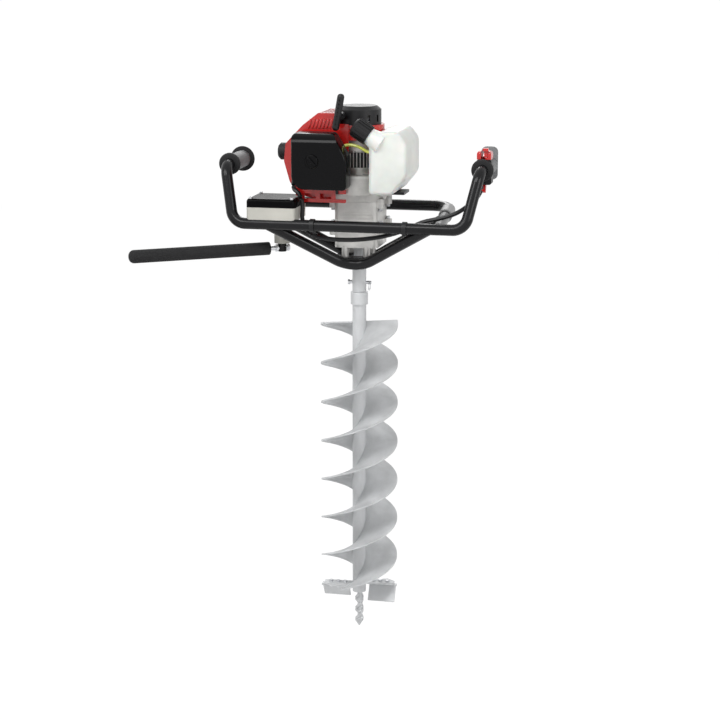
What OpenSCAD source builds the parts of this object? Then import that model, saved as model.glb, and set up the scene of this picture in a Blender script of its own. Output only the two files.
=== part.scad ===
// Earth auger: a two-stroke engine in a tube frame that drives an earth bit.
// The origin is the bit's tip on the drive axis, +Z is up, and the operator stands at -Y.

/* [Earth bit] */
// Diameter of the hole that the bit bores
bit_d = 180; // [140:5:200]
// Rise of a flight in one turn
flight_pitch = 187; // [160:1:220]
// Height of the flights' lower end
flight_low_z = 119; // [115:1:130]
// Height of the flights' upper end
flight_high_z = 747; // [600:1:760]
// Thickness of a flight
flight_t = 3.5; // [3:0.5:5]
// Outer diameter of the bit's tube
bit_tube_d = 32; // [30:1:36]
// Bore of the bit's tube
bit_tube_bore = 25; // [22:1:26]
// Width of the pilot tip
pilot_w = 18.6; // [14:0.2:24]
// Thickness of the pilot tip
pilot_t = 8; // [6:0.5:10]
// Length of the pilot tip below the tube
pilot_len = 88; // [70:1:95]
// Thickness of a cutter plate
cutter_plate_t = 5; // [4:0.5:6]
// Length of a cutter blade down its slope
blade_len = 40; // [30:1:46]
// Slope of a cutter blade from level
blade_slope = 58; // [45:1:65]
// Diameter of the collar at the top of the bit
collar_d = 40; // [38:1:44]
// Height of the collar's upper face
collar_top_z = 816; // [800:1:820]
// Length of the collar
collar_len = 29; // [20:1:32]
// Diameter of the stub that enters the socket
stub_d = 20; // [18:1:22]
// Length of the stub
stub_len = 56; // [45:1:60]
// Diameter of the shaft pin
shaft_pin_d = 8; // [6:0.5:9]
// Height of the shaft pin above the collar
shaft_pin_rise = 22; // [18:1:28]

/* [Gearbox] */
// Height of the gearbox floor's underside
gearbox_z = 924; // [924:1:930]
// Outer width of the gearbox
gearbox_w = 100; // [96:1:104]
// Wall of the gearbox
gearbox_wall = 5; // [4:0.5:6]
// Distance between the two gear shafts
shaft_gap = 36; // [36:1:36]
// Teeth of the input pinion
pinion_teeth = 10; // [10:1:10]
// Teeth of the large first gear
first_gear_teeth = 62; // [62:1:62]
// Module of the first gears
first_module = 1; // [1:0.5:1]
// Teeth of the small second gear
second_pinion_teeth = 9; // [9:1:9]
// Teeth of the output gear
output_gear_teeth = 39; // [39:1:39]
// Width of the output gear
output_gear_w = 16; // [12:1:16]
// Width of the large first gear
first_gear_w = 10; // [8:1:12]
// Height of the lower housing
lower_housing_h = 41; // [41:1:44]
// Height of the upper housing
upper_housing_h = 63; // [62:1:64]

/* [Engine] */
// Height of the cylinder's axis
cylinder_z = 1136; // [1134:1:1140]
// Bore of the cylinder
cylinder_bore = 44; // [42:1:45]
// Stroke of the piston
piston_stroke = 34; // [30:1:34]
// Length of the connecting rod
rod_len = 60; // [60:1:64]
// Width of the cooling fins
fin_d = 88; // [80:1:92]
// Thickness of a cooling fin
fin_t = 2; // [1.5:0.5:3]
// Distance from fin to fin
fin_pitch = 7; // [6:0.5:9]
// Outer diameter of the crankcase
crankcase_d = 84; // [80:1:84]
// Outer diameter of the clutch housing
clutch_housing_d = 140; // [130:1:142]
// Height of the clutch housing above its floor
clutch_housing_h = 49; // [49:1:52]
// Diameter of the clutch drum
clutch_drum_d = 78; // [74:1:82]
// Diameter of the starter housing
starter_d = 100; // [96:1:104]
// Height of the starter housing
starter_h = 41; // [39:1:47]
// Wall of the moulded covers
cover_wall = 2.5; // [2:0.5:3]
// Length of the starter handle
handle_len = 84; // [70:1:90]

/* [Air filter and tank] */
// Width of the air filter cover
filter_w = 125; // [115:1:130]
// Depth of the air filter cover
filter_depth = 42; // [36:1:46]
// Height of the air filter cover
filter_h = 126; // [120:1:128]
// Diameter of the cover's knob
filter_knob_d = 29.4; // [24:0.2:34]
// Width of the fuel tank
tank_w = 86; // [76:1:90]
// Depth of the fuel tank
tank_depth = 160; // [140:1:165]
// Wall of the fuel tank
tank_wall = 3; // [2:0.5:3.5]
// Diameter of the fuel cap
fuel_cap_d = 46; // [42:1:48]
// Length of the fuel cap
fuel_cap_len = 30; // [24:1:32]

/* [Frame] */
// Diameter of the frame tubes
frame_tube_d = 25.4; // [22:0.1:27]
// Wall of the frame tubes
frame_tube_wall = 2; // [1.5:0.5:3]
// Height of the front bar
front_bar_z = 985; // [980:1:990]
// Distance of the front bar from the drive axis
front_bar_y = 124; // [120:1:128]
// Height of the two grips
grip_z = 1110; // [1105:1:1115]
// Distance of each grip from the drive axis
grip_x = 291; // [280:1:295]
// Height of the rear hoop's back bar
hoop_z = 1003; // [998:1:1008]
// Distance of the V tubes' lowest point from the drive axis
v_tube_y = 45; // [42:1:48]
// Length of a grip
grip_len = 120; // [110:1:125]
// Diameter of a grip
grip_d = 40; // [36:1:42]
// Thickness of the base plate
base_plate_t = 6; // [5:0.5:8]

/* [Leg bar] */
// Diameter of the leg bar's rod
leg_rod_d = 10.5; // [10:0.5:12]
// Outer diameter of the foam sleeve
foam_d = 30; // [26:1:32]
// Length of the foam sleeve
foam_len = 330; // [250:5:340]
// Length of the switch box
switch_box_w = 113; // [100:1:116]
// Depth of the switch box
switch_box_depth = 106; // [100:1:108]
// Height of the switch box's base
switch_base_h = 24; // [22:1:28]
// Height of the switch box's lid
switch_lid_h = 20; // [14:1:22]

/* [Fits] */
// Radial clearance of a shaft that turns in a bore
running_fit = 0.05; // [0.02:0.01:0.1]
// Clearance between pieces that seat on each other
seat_gap = 0.2; // [0.1:0.05:0.3]
// Thread diameter of the housing screws
screw_d = 6; // [5:1:6]

/* [Hidden] */
$fn = 48;

// Drive line heights
shaft_pin_z = collar_top_z + shaft_pin_rise;
socket_low_z = collar_top_z + 0.3;
socket_depth = stub_len + 2;
socket_len = stub_len + 24;
socket_top_z = socket_low_z + socket_len;
output_shaft_d = 20;
output_neck_d = 15;
cutter_plate_z = flight_low_z - 13;
pilot_shank_len = 22;
pilot_twist = 500;
tip_h = 14;

// Gearbox heights
housing_split_z = gearbox_z + lower_housing_h;
clutch_floor_z = housing_split_z + upper_housing_h;
clutch_floor_t = 8;
gearbox_x = gearbox_w / 2;
gearbox_front_y = -42;
gearbox_back_y = shaft_gap + 40;
gearbox_corner = 12;
floor_t = 8;
large_bearing = [20, 42, 12];
small_bearing = [15, 32, 9];
cluster_bearing = [12, 28, 8];
crank_bearing = [15, 35, 11];
seal_h = 6;
large_bearing_z = gearbox_z + seal_h + 1;
cluster_bearing_z = gearbox_z + 10;
output_gear_z = gearbox_z + 21;
mid_wall_t = 11;
mid_bearing_z = housing_split_z + 1;
output_shaft_top_z = mid_bearing_z + small_bearing[2];
first_gear_z = housing_split_z + 20;
input_bearing_z = clutch_floor_z - 13;
boss_low_z = clutch_floor_z - 14;
lug_x = gearbox_x + 5;
lug_r = 9;
lug_ys = [-25, shaft_gap + 23];
pressure_angle = 25;
second_module = 2 * shaft_gap / (second_pinion_teeth + output_gear_teeth);
tooth_relief = 0.05;

// Engine places
clutch_top_z = clutch_floor_z + clutch_floor_t + clutch_housing_h;
drum_z = clutch_floor_z + clutch_floor_t + 2;
drum_h = 28;
drum_wall = 3;
crank_journal_d = 15;
crank_throw = piston_stroke / 2;
web_r = 28;
web_t = 10;
web_gap = 14;
chamber_r = web_r + 2;
chamber_half_h = web_gap / 2 + web_t + 1;
crankcase_low_z = cylinder_z - 32;
crankcase_high_z = cylinder_z + 32;
piston_r = cylinder_bore / 2 - running_fit;
piston_crown_x = -(rod_len + crank_throw + 24);
piston_skirt_x = -(rod_len + crank_throw - 14);
head_x = piston_crown_x - 1.5;
cylinder_base_x = -40;
barrel_r = cylinder_bore / 2 + 5;
flywheel_z = crankcase_high_z + 8;
flywheel_h = 22;
flywheel_r = 50;
fan_ring_r = flywheel_r + 5;
fan_ring_low_z = crankcase_high_z + 2;
starter_low_z = flywheel_z + flywheel_h + 5;
starter_top_z = starter_low_z + starter_h;
pulley_r = 28;
pulley_h = 12;
pulley_z = starter_top_z - 26;
rope_z = pulley_z + pulley_h / 2;
rope_d = 4;
spring_z = pulley_z - 8.3;
crank_top_z = pulley_z - 1;
handle_x = -pulley_r - 1;
handle_y = -86;
handle_r = 8;
handle_lean = 10;
handle_rise = 11;
plug_x = head_x - 12;
boot_d = 39;
shroud_front_y = -58;
shroud_low_z = clutch_floor_z + 3;
shroud_top_z = starter_low_z + 27;
shroud_step_z = starter_low_z + 3;
apron_rib = [6, 18, 12];

// Air filter and tank places
filter_left_x = -128;
filter_low_z = 1065;
filter_back_y = -88;
filter_base_t = 8;
filter_base_y = filter_back_y + filter_base_t;
filter_knob_x = -80;
filter_knob_z = 1129;
carb_x = -75;
carb_w = 34;
carb_h = 40;
tank_left_x = 42;
tank_front_y = -100;
tank_low_z = 1053;
tank_high_z = 1196;
neck_at = [31, -84, 1190];
neck_dir = [-0.84, 0, 0.54];
neck_d = 38;
neck_len = 44;
neck_root_r = 26;

// Frame places
tube_r = frame_tube_d / 2;
bar_corner_x = grip_x - 27;
riser_y = -front_bar_y + 38;
grip_end_y = grip_len - 69;
handlebar_bend = 34;
hoop_front_x = 205;
hoop_back_x = 190;
hoop_bend = 42;
v_end_x = 185;
v_corner_z = front_bar_z - 110;
v_bend = 70;
rear_v_share = 0.45;
v_rise = front_bar_z - v_corner_z;
v_bottom_z = v_corner_z + v_bend * (1 / cos(atan(v_rise / v_end_x)) - 1);
base_plate_z = v_bottom_z + tube_r - 2;
boss_ats = [[-25, -35], [25, -35], [-25, 25], [25, 25]];
handlebar_points = [
  [-grip_x, grip_end_y, grip_z], [-grip_x, riser_y, grip_z],
  [-bar_corner_x, -front_bar_y, front_bar_z], [bar_corner_x, -front_bar_y, front_bar_z],
  [grip_x, riser_y, grip_z], [grip_x, grip_end_y, grip_z]
];
hoop_points = [
  [-hoop_front_x, -front_bar_y, front_bar_z], [-hoop_back_x, front_bar_y, hoop_z],
  [hoop_back_x, front_bar_y, hoop_z], [hoop_front_x, -front_bar_y, front_bar_z]
];
flange_d = 58;
flange_t = 4;
collar_ring_t = 12;

// Leg bar places
pivot_at = [-172, -42];
leg_bar_z = 919;
leg_bar_dir = [-0.833, -0.553, 0];
foam_start = 31;
pivot_housing_d = 36;
clamp_d = 20;
clamp_h = 24;
switch_box_at = [-232, -132];
switch_box_z = front_bar_z + tube_r + 1;

// Throttle cable route, held by two clips and the carburettor
CABLE_ROUTE = [
  [288, -50, 1075.5], [288, -52, 1064], [281, -68, 1050], [266, -88, 1036], [246, -101, 1022],
  [222, -105, 1012], [195, -106, 1005], [165, -106, 997], [130, -104, 980], [90, -102, 966],
  [50, -100, 957], [5, -100, 952], [-40, -100, 952], [-80, -100, 958], [-101, -99, 972],
  [-110, -98, 998], [-110, -95, 1030], [-119, -90, 1051], [-132, -84, 1061], [-135, -77, 1076],
  [-130, -71, 1096], [-118, -70, 1111], [-108, -70, 1118], [-100.5, -70, 1119]
];
cable_d = 10;
clip_ats = [8, 13];

// Fuel hose route, from the carburettor to the tank
HOSE_ROUTE = [
  [-57.4, -71, 1136.5], [-48, -72, 1140], [-36, -73, 1150], [-20, -74, 1159], [-5, -75, 1162],
  [12, -79, 1160], [26, -82, 1154], [36, -84, 1149], [41.6, -84, 1148]
];
hose_d = 7;

// Places on the pieces
throttle_y = riser_y + 28;
throttle_len = grip_len - 6;
trigger_pivot = [grip_x, throttle_y + 34, grip_z - 26];
lock_pivot = [grip_x, throttle_y + 44, grip_z + 24];
switch_at = [grip_x + 6, throttle_y + 18, grip_z + 42];
shoe_z = drum_z + drum_wall + 2;
shoe_h = 18;
shoe_r = clutch_drum_d / 2 - drum_wall - 1;
boot_start_x = plug_x - 22;
boot_end_x = -188;
muffler_lo = [-128, 63, 1098];
muffler_hi = [-48, 104, 1170];
choke_at = [-34, filter_base_y + 3.3, filter_low_z + 12];
switch_box_hi = [switch_box_at.x + switch_box_w, switch_box_at.y + switch_box_depth];
lid_z = switch_box_z + switch_base_h;
lid_top_z = lid_z + switch_lid_h;
lid_screw_ats = [for (x = [switch_box_at.x + 9, switch_box_hi.x - 9], y = [switch_box_at.y + 9,
  switch_box_hi.y - 9]) [x, y]];
bolt_xs = [32, 49, 66];
blade_y = 8;
flight_start = 22;

weld_lap = 1.5;
weld_gap = 0.3;
weld_step = 0.1;

function unit(v) = v / norm(v);

// Points of a rounded corner at p between a and b
function fillet_points(a, p, b, r, n) =
  let (u = unit(a - p), v = unit(b - p), h = acos(u * v) / 2, t = r / tan(h),
       c = p + unit(u + v) * r / sin(h), s = p + u * t, e = p + v * t,
       a0 = atan2(s.y - c.y, s.x - c.x), d = atan2(e.y - c.y, e.x - c.x) - a0,
       w = d > 180 ? d - 360 : (d < -180 ? d + 360 : d))
  [for (i = [0:n]) c + r * [cos(a0 + w * i / n), sin(a0 + w * i / n)]];

// An outline with every corner rounded by its own radius
function rounded_outline(pts, radii, n = 5) =
  let (m = len(pts))
  [for (i = [0:m - 1]) each fillet_points(pts[(i + m - 1) % m], pts[i], pts[(i + 1) % m],
    is_list(radii) ? radii[i] : radii, n)];

// Turns children so that their +Z points along d, at p
module placed(p, d) {
  translate(p) rotate([0, acos(d.z / norm(d)), atan2(d.y, d.x)]) children();
}

module rod_between(a, b, r) {
  placed(a, b - a) cylinder(h = norm(b - a), r = r);
}

// Length that a bend of this radius takes from each side of its corner
function corner_cut(a, p, b, bend) = bend / tan(acos(unit(a - p) * unit(b - p)) / 2);

// One bend of a round rod around the corner p
module rod_bend(a, p, b, bend, r) {
  u = unit(p - a);
  v = unit(b - p);
  turn = acos(u * v);
  n = unit(v - (u * v) * u);
  k = cross(-n, u);
  c = p - u * corner_cut(a, p, b, bend) + n * bend;
  multmatrix([[-n.x, u.x, k.x, c.x], [-n.y, u.y, k.y, c.y], [-n.z, u.z, k.z, c.z]])
    rotate_extrude(angle = turn) translate([bend, 0]) circle(r = r);
}

// A round rod along points, bent with one radius at every inner corner.
// A straight run is thinner than a bend by the weld step, and reaches into it by the weld lap.
module bent_rod(pts, bend, r) {
  m = len(pts);
  for (i = [0:m - 2]) {
    u = unit(pts[i + 1] - pts[i]);
    start = i == 0 ? 0 : corner_cut(pts[i - 1], pts[i], pts[i + 1], bend);
    end = i == m - 2 ? 0 : corner_cut(pts[i], pts[i + 1], pts[i + 2], bend);
    rod_between(pts[i] + u * (start - (i == 0 ? 0 : weld_lap)),
      pts[i + 1] - u * (end - (i == m - 2 ? 0 : weld_lap)), r - weld_step);
  }
  for (i = [1:m - 2]) rod_bend(pts[i - 1], pts[i], pts[i + 1], bend, r);
}

module bent_tube(pts, bend, d, wall) {
  difference() {
    bent_rod(pts, bend, d / 2);
    bent_rod(pts, bend, d / 2 - wall);
  }
}

// A box from lo to hi with upright edges rounded by r
module rounded_box(lo, hi, r) {
  h = hi.z - lo.z;
  translate([lo.x + r, lo.y, lo.z]) cube([hi.x - lo.x - 2 * r, hi.y - lo.y, h]);
  translate([lo.x, lo.y + r, lo.z]) cube([hi.x - lo.x, hi.y - lo.y - 2 * r, h]);
  for (x = [lo.x + r, hi.x - r], y = [lo.y + r, hi.y - r])
    translate([x, y, lo.z]) cylinder(h = h, r = r);
}

// An XZ outline carried along Y from y0 to y1
module slab_y(pts, y0, y1) {
  translate([0, y1, 0]) rotate([90, 0, 0]) linear_extrude(y1 - y0) polygon(pts);
}

module ring(d_out, d_in, h) {
  difference() {
    cylinder(h = h, d = d_out);
    translate([0, 0, -1]) cylinder(h = h + 2, d = d_in);
  }
}

// A cylinder along -Y that starts at y
module rod_front(x, y, z, r, h) {
  translate([x, y, z]) rotate([90, 0, 0]) cylinder(h = h, r = r);
}

// A cylinder along -X that starts at x
module rod_left(x, y, z, r, h) {
  translate([x, y, z]) rotate([0, -90, 0]) cylinder(h = h, r = r);
}

// Involute gears
function involute_deg(a) = tan(a) * 180 / PI - a;
function tooth_half(m, z, r) =
  let (rp = m * z / 2, rb = rp * cos(pressure_angle))
  90 / z + involute_deg(pressure_angle) - involute_deg(acos(min(1, rb / r)))
    - tooth_relief / rp * 180 / PI;
function gear_points(m, z) =
  let (rp = m * z / 2, rb = rp * cos(pressure_angle), root = rp - m, tip = rp + 0.8 * m,
       foot = max(rb, root) + 0.02, mid = (foot + tip) / 2,
       hf = tooth_half(m, z, foot), hm = tooth_half(m, z, mid), ht = tooth_half(m, z, tip))
  [for (i = [0:z - 1], q = [[root, -hf], [foot, -hf], [mid, -hm], [tip, -ht],
                            [tip, ht], [mid, hm], [foot, hf], [root, hf]])
    let (a = i * 360 / z + q[1]) q[0] * [cos(a), sin(a)]];
module gear(m, z, h, turn) {
  rotate([0, 0, turn]) linear_extrude(h) polygon(gear_points(m, z));
}

// A ball bearing with separate rings and balls, size = [bore, outside, width]
module ball_bearing(size) {
  pitch_r = (size[0] + size[1]) / 4;
  ball_r = (size[1] - size[0]) * 0.14;
  land = ball_r * 0.6;
  for (band = [[size[0] / 2, pitch_r - land], [pitch_r + land, size[1] / 2]])
    difference() {
      ring(band[1] * 2, band[0] * 2, size[2]);
      translate([0, 0, size[2] / 2]) rotate_extrude() translate([pitch_r, 0]) circle(ball_r + 0.05);
    }
  for (i = [0:6])
    rotate([0, 0, i * 360 / 7]) translate([pitch_r, 0, size[2] / 2]) sphere(ball_r, $fn = 24);
}

// A cap screw with its head's seat at the origin, shank along +Z
module cap_screw(shank, d = screw_d) {
  head_h = d;
  difference() {
    translate([0, 0, -head_h]) cylinder(h = head_h, d = d * 1.65);
    translate([0, 0, -head_h - 1]) cylinder(h = head_h / 2 + 1, d = d * 0.95, $fn = 6);
  }
  cylinder(h = shank, d = d);
}

// Tube swept along a route, closed at both ends
function route_dir(p, i) = unit(p[min(i + 1, len(p) - 1)] - p[max(i - 1, 0)]);
function side_of(d) = unit(cross(d, abs(d.z) > 0.9 ? [0, 1, 0] : [0, 0, 1]));
// Smooth points between the chosen ones
function smooth_route(p, n) = [
  for (i = [0:len(p) - 2], j = [0:n - 1])
    let (t = j / n, a = p[max(i - 1, 0)], b = p[i], c = p[i + 1], d = p[min(i + 2, len(p) - 1)])
    0.5 * (2 * b + (c - a) * t + (2 * a - 5 * b + 4 * c - d) * t * t
      + (3 * b - a - 3 * c + d) * t * t * t),
  p[len(p) - 1]
];
module swept_tube(route, d, sides, n) {
  p = smooth_route(route, n);
  m = len(p);
  points = [for (i = [0:m - 1]) let (t = route_dir(p, i), s = side_of(t), w = cross(s, t))
    for (k = [0:sides - 1]) p[i] + d / 2 * (s * cos(k * 360 / sides) + w * sin(k * 360 / sides))];
  walls = [for (i = [0:m - 2], k = [0:sides - 1]) let (q = (k + 1) % sides)
    each [[i * sides + k, (i + 1) * sides + k, (i + 1) * sides + q],
          [i * sides + k, (i + 1) * sides + q, i * sides + q]]];
  low_cap = [[for (k = [0:sides - 1]) k]];
  high_cap = [[for (k = [sides - 1:-1:0]) (m - 1) * sides + k]];
  polyhedron(points, concat(walls, low_cap, high_cap));
}

// Frame tubes
module front_handlebar() {
  color("#151517") bent_tube(handlebar_points, handlebar_bend, frame_tube_d, frame_tube_wall);
}

// The front bar's straight run, as it is cut out of what meets it
module front_bar_rod(r) {
  rod_between([-bar_corner_x, -front_bar_y, front_bar_z], [bar_corner_x, -front_bar_y, front_bar_z], r);
}

module rear_hoop() {
  color("#151517") difference() {
    bent_tube(hoop_points, hoop_bend, frame_tube_d, frame_tube_wall);
    front_bar_rod(tube_r + weld_gap);
  }
}

function v_points(side) = [
  [-v_end_x, side * front_bar_y, front_bar_z], [0, side * v_tube_y, v_corner_z],
  [v_end_x, side * front_bar_y, front_bar_z]
];

module v_rod(side, r) {
  bent_rod(v_points(side), v_bend, r);
}

module front_v_tube() {
  color("#151517") difference() {
    bent_tube(v_points(-1), v_bend, frame_tube_d, frame_tube_wall);
    front_bar_rod(tube_r + weld_gap);
  }
}

// The rear V ends on the hoop's two arms, a little in front of their middle
function hoop_arm_at(side, share) = let (a = [side * hoop_front_x, -front_bar_y, front_bar_z],
  b = [side * hoop_back_x, front_bar_y, hoop_z]) a + (b - a) * share;

function rear_v_points() = [
  hoop_arm_at(-1, rear_v_share), [0, v_tube_y + 14, v_corner_z], hoop_arm_at(1, rear_v_share)
];

module rear_v_tube() {
  color("#151517") difference() {
    bent_tube(rear_v_points(), v_bend, frame_tube_d, frame_tube_wall);
    bent_rod(hoop_points, hoop_bend, tube_r);
  }
}

module base_plate() {
  color("#1b1b1d") difference() {
    rounded_box([-50, -57, base_plate_z], [50, 62, base_plate_z + base_plate_t], 10);
    v_rod(-1, tube_r);
    bent_rod(rear_v_points(), v_bend, tube_r);
    translate([0, 0, base_plate_z - 1]) cylinder(h = base_plate_t + 2, d = 50);
    for (at = boss_ats) translate([at.x, at.y, base_plate_z - 1])
      cylinder(h = base_plate_t + 2, d = screw_d + 0.4);
  }
}

module hoop_sleeves() {
  color("#a9aaa8") for (side = [-1, 1]) {
    difference() {
      rod_between(hoop_arm_at(side, 0.56), hoop_arm_at(side, 0.84), tube_r + 3);
      rod_between(hoop_arm_at(side, 0), hoop_arm_at(side, 1), tube_r + seat_gap);
    }
  }
}

// Grips
module left_grip() {
  color("#8b8d90") translate([-grip_x, riser_y + 28, grip_z]) rotate([-90, 0, 0]) difference() {
    union() {
      cylinder(h = grip_len - 6, d = grip_d);
      cylinder(h = collar_ring_t, d = flange_d - 8);
      translate([0, 0, grip_len - 6 - flange_t]) cylinder(h = flange_t, d = flange_d);
    }
    translate([0, 0, -1]) cylinder(h = grip_len - 8, r = tube_r + seat_gap);
  }
}

module throttle_housing() {
  color("#8b8d90") difference() {
    union() {
      translate([grip_x, throttle_y, grip_z]) rotate([-90, 0, 0]) {
        cylinder(h = throttle_len, d = grip_d);
        cylinder(h = collar_ring_t, d = flange_d - 8);
        translate([0, 0, throttle_len - flange_t]) cylinder(h = flange_t, d = flange_d - 8);
      }
      translate([0, throttle_y, 0]) slab_y(rounded_outline([
        [grip_x - 16, grip_z], [grip_x + 20, grip_z], [grip_x + 20, grip_z + 36], [grip_x + 8, grip_z + 42],
        [grip_x - 16, grip_z + 36]], [4, 4, 8, 8, 8]), 2, 40);
      translate([grip_x - 13, throttle_y + 2, grip_z - 34]) cube([26, 38, 34]);
    }
    translate([grip_x, throttle_y - 1, grip_z]) rotate([-90, 0, 0])
      cylinder(h = throttle_len - 2, r = tube_r + seat_gap);
    translate([grip_x - 6, throttle_y + 14, grip_z - 40]) cube([12, 40, 26]);
    rod_left(grip_x + 30, trigger_pivot.y, trigger_pivot.z, 3 + running_fit, 60);
    translate([grip_x - 5, throttle_y + 12, grip_z + 18]) cube([10, 50, 30]);
    rod_left(grip_x + 30, lock_pivot.y - 8, lock_pivot.z, 2.5 + running_fit, 60);
    translate([switch_at.x - 4.3, switch_at.y - 14, switch_at.z - 14]) cube([8.6, 18, 30]);
  }
}

// A hinged blade under the grip that the fingers pull up
module throttle_trigger() {
  color("#b3231c") {
    rod_left(grip_x + 12, trigger_pivot.y, trigger_pivot.z, 3, 24);
    translate([grip_x - 4.5, 0, 0]) rotate([90, 0, 90]) linear_extrude(9) polygon(rounded_outline([
      [trigger_pivot.y - 5, trigger_pivot.z + 5], [trigger_pivot.y - 8, trigger_pivot.z - 24],
      [trigger_pivot.y - 3, trigger_pivot.z - 28], [trigger_pivot.y + 8, trigger_pivot.z - 12],
      [trigger_pivot.y + 5, trigger_pivot.z + 5]], [2, 3, 2, 4, 2]));
  }
}

module trigger_lock() {
  color("#1c1c1e") {
    rod_left(grip_x + 12, lock_pivot.y - 8, lock_pivot.z, 2.5, 24);
    translate([grip_x - 4, 0, 0]) rotate([90, 0, 90]) linear_extrude(8) polygon(rounded_outline([
      [lock_pivot.y - 12, lock_pivot.z - 3], [lock_pivot.y + 32, lock_pivot.z + 1],
      [lock_pivot.y + 34, lock_pivot.z + 5], [lock_pivot.y + 6, lock_pivot.z + 9],
      [lock_pivot.y - 12, lock_pivot.z + 4]], [2, 1, 1, 3, 2]));
  }
}

module stop_switch() {
  color("#c8281e") {
    translate([switch_at.x - 4, switch_at.y - 5, switch_at.z - 13]) cube([8, 4, 16]);
    translate([switch_at.x - 6, switch_at.y - 11, switch_at.z + 0.4]) cube([12, 12, 6]);
  }
}

module throttle_cable() {
  color("#111113") swept_tube(CABLE_ROUTE, cable_d, 8, 3);
}

module cable_clips() {
  color("#232325") for (i = clip_ats) {
    p = CABLE_ROUTE[i];
    bar = [p.x, -front_bar_y, front_bar_z];
    difference() {
      union() {
        rod_left(p.x + 5, bar.y, bar.z, tube_r + 2.5, 10);
        placed(p - 4 * route_dir(CABLE_ROUTE, i), route_dir(CABLE_ROUTE, i)) cylinder(h = 8, d = cable_d + 4);
        placed(bar, p - bar) translate([-1.5, -4, tube_r + 1]) cube([3, 8, norm(p - bar) - tube_r - 3.5]);
      }
      rod_left(p.x + 6, bar.y, bar.z, tube_r + seat_gap, 12);
      placed(p - 8 * route_dir(CABLE_ROUTE, i), route_dir(CABLE_ROUTE, i))
        cylinder(h = 16, d = cable_d + 0.6);
    }
  }
}

// Screws of the base plate, housing halves, clutch housing and switch box
module m6_screws() {
  color("#c4c5c8") {
    for (at = boss_ats) translate([at.x, at.y, base_plate_z]) cap_screw(gearbox_z - base_plate_z + 6);
    for (x = [-lug_x, lug_x], y = lug_ys) {
      translate([x, y, housing_split_z + 14]) rotate([180, 0, 0]) cap_screw(24);
      translate([x, y, boss_low_z]) cap_screw(20);
    }
    for (at = lid_screw_ats) translate([at.x, at.y, lid_top_z - 2]) rotate([180, 0, 0]) cap_screw(28, 5);
  }
}

// Gearbox
module gearbox_outline_box(z0, z1, inset) {
  rounded_box([-gearbox_x + inset, gearbox_front_y + inset, z0],
    [gearbox_x - inset, gearbox_back_y - inset, z1], gearbox_corner - inset / 2);
}

module lugs(z0, z1) {
  for (x = [-lug_x, lug_x], y = lug_ys) translate([x, y, z0]) cylinder(h = z1 - z0, r = lug_r);
  for (y = lug_ys) translate([-lug_x, y - lug_r, z0]) cube([2 * lug_x, 2 * lug_r, z1 - z0]);
}

module gearbox_lower() {
  color("#b9bbbe") difference() {
    union() {
      difference() {
        union() {
          gearbox_outline_box(gearbox_z, housing_split_z, 0);
          lugs(housing_split_z - 14, housing_split_z);
        }
        gearbox_outline_box(gearbox_z + floor_t, housing_split_z + 1, gearbox_wall);
      }
      translate([0, 0, gearbox_z]) cylinder(h = large_bearing_z + large_bearing[2] - gearbox_z, r = 25);
      translate([0, shaft_gap, gearbox_z])
        cylinder(h = cluster_bearing_z + cluster_bearing[2] - gearbox_z, r = 17);
      for (at = boss_ats) translate([at.x, at.y, base_plate_z + base_plate_t])
        cylinder(h = gearbox_z - base_plate_z - base_plate_t + floor_t / 2, d = 16);
    }
    translate([0, 0, gearbox_z - 1]) cylinder(h = seal_h + 1, d = 35 + 2 * running_fit);
    translate([0, 0, gearbox_z]) cylinder(h = 60, d = output_shaft_d + 6);
    translate([0, 0, large_bearing_z]) cylinder(h = 60, d = large_bearing[1] + 2 * running_fit);
    translate([0, shaft_gap, cluster_bearing_z]) cylinder(h = 60, d = cluster_bearing[1] + 2 * running_fit);
    for (at = boss_ats) translate([at.x, at.y, base_plate_z])
      cylinder(h = gearbox_z - base_plate_z + 7, d = screw_d + 0.1);
    for (x = [-lug_x, lug_x], y = lug_ys) translate([x, y, housing_split_z - 11])
      cylinder(h = 20, d = screw_d + 0.1);
    bent_rod(rear_v_points(), v_bend, tube_r + seat_gap);
  }
}

module gearbox_upper() {
  color("#b9bbbe") difference() {
    union() {
      difference() {
        union() {
          gearbox_outline_box(housing_split_z, clutch_floor_z, 0);
          lugs(housing_split_z, housing_split_z + 14);
          lugs(boss_low_z, clutch_floor_z);
        }
        gearbox_outline_box(housing_split_z + mid_wall_t, clutch_floor_z + 1, gearbox_wall);
      }
      for (z = [housing_split_z + 20, housing_split_z + 28, housing_split_z + 36])
        translate([-gearbox_x + 10, gearbox_front_y - 2, z]) cube([gearbox_w - 20, 3, 3]);
    }
    translate([0, 0, mid_bearing_z]) cylinder(h = 60, d = small_bearing[1] + 2 * running_fit);
    translate([0, 0, housing_split_z - 1]) cylinder(h = 20, d = small_bearing[0] + 8);
    translate([0, shaft_gap, housing_split_z - 1]) cylinder(h = 60, d = 24);
    for (x = [-lug_x, lug_x], y = lug_ys) {
      translate([x, y, housing_split_z - 1]) cylinder(h = 16, d = screw_d + 0.1);
      translate([x, y, boss_low_z - 1]) cylinder(h = 16, d = screw_d + 0.1);
    }
  }
}

module bearings_and_seal() {
  color("#d0d2d5") {
    translate([0, 0, large_bearing_z]) ball_bearing(large_bearing);
    translate([0, 0, mid_bearing_z]) ball_bearing(small_bearing);
    translate([0, 0, input_bearing_z]) ball_bearing(small_bearing);
    translate([0, shaft_gap, cluster_bearing_z]) ball_bearing(cluster_bearing);
    translate([0, shaft_gap, input_bearing_z]) ball_bearing(cluster_bearing);
    translate([0, 0, cylinder_z - chamber_half_h - crank_bearing[2]]) ball_bearing(crank_bearing);
    translate([0, 0, cylinder_z + chamber_half_h]) ball_bearing(crank_bearing);
    translate([0, 0, gearbox_z]) ring(35, output_shaft_d + 2 * running_fit, seal_h);
  }
}

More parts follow.
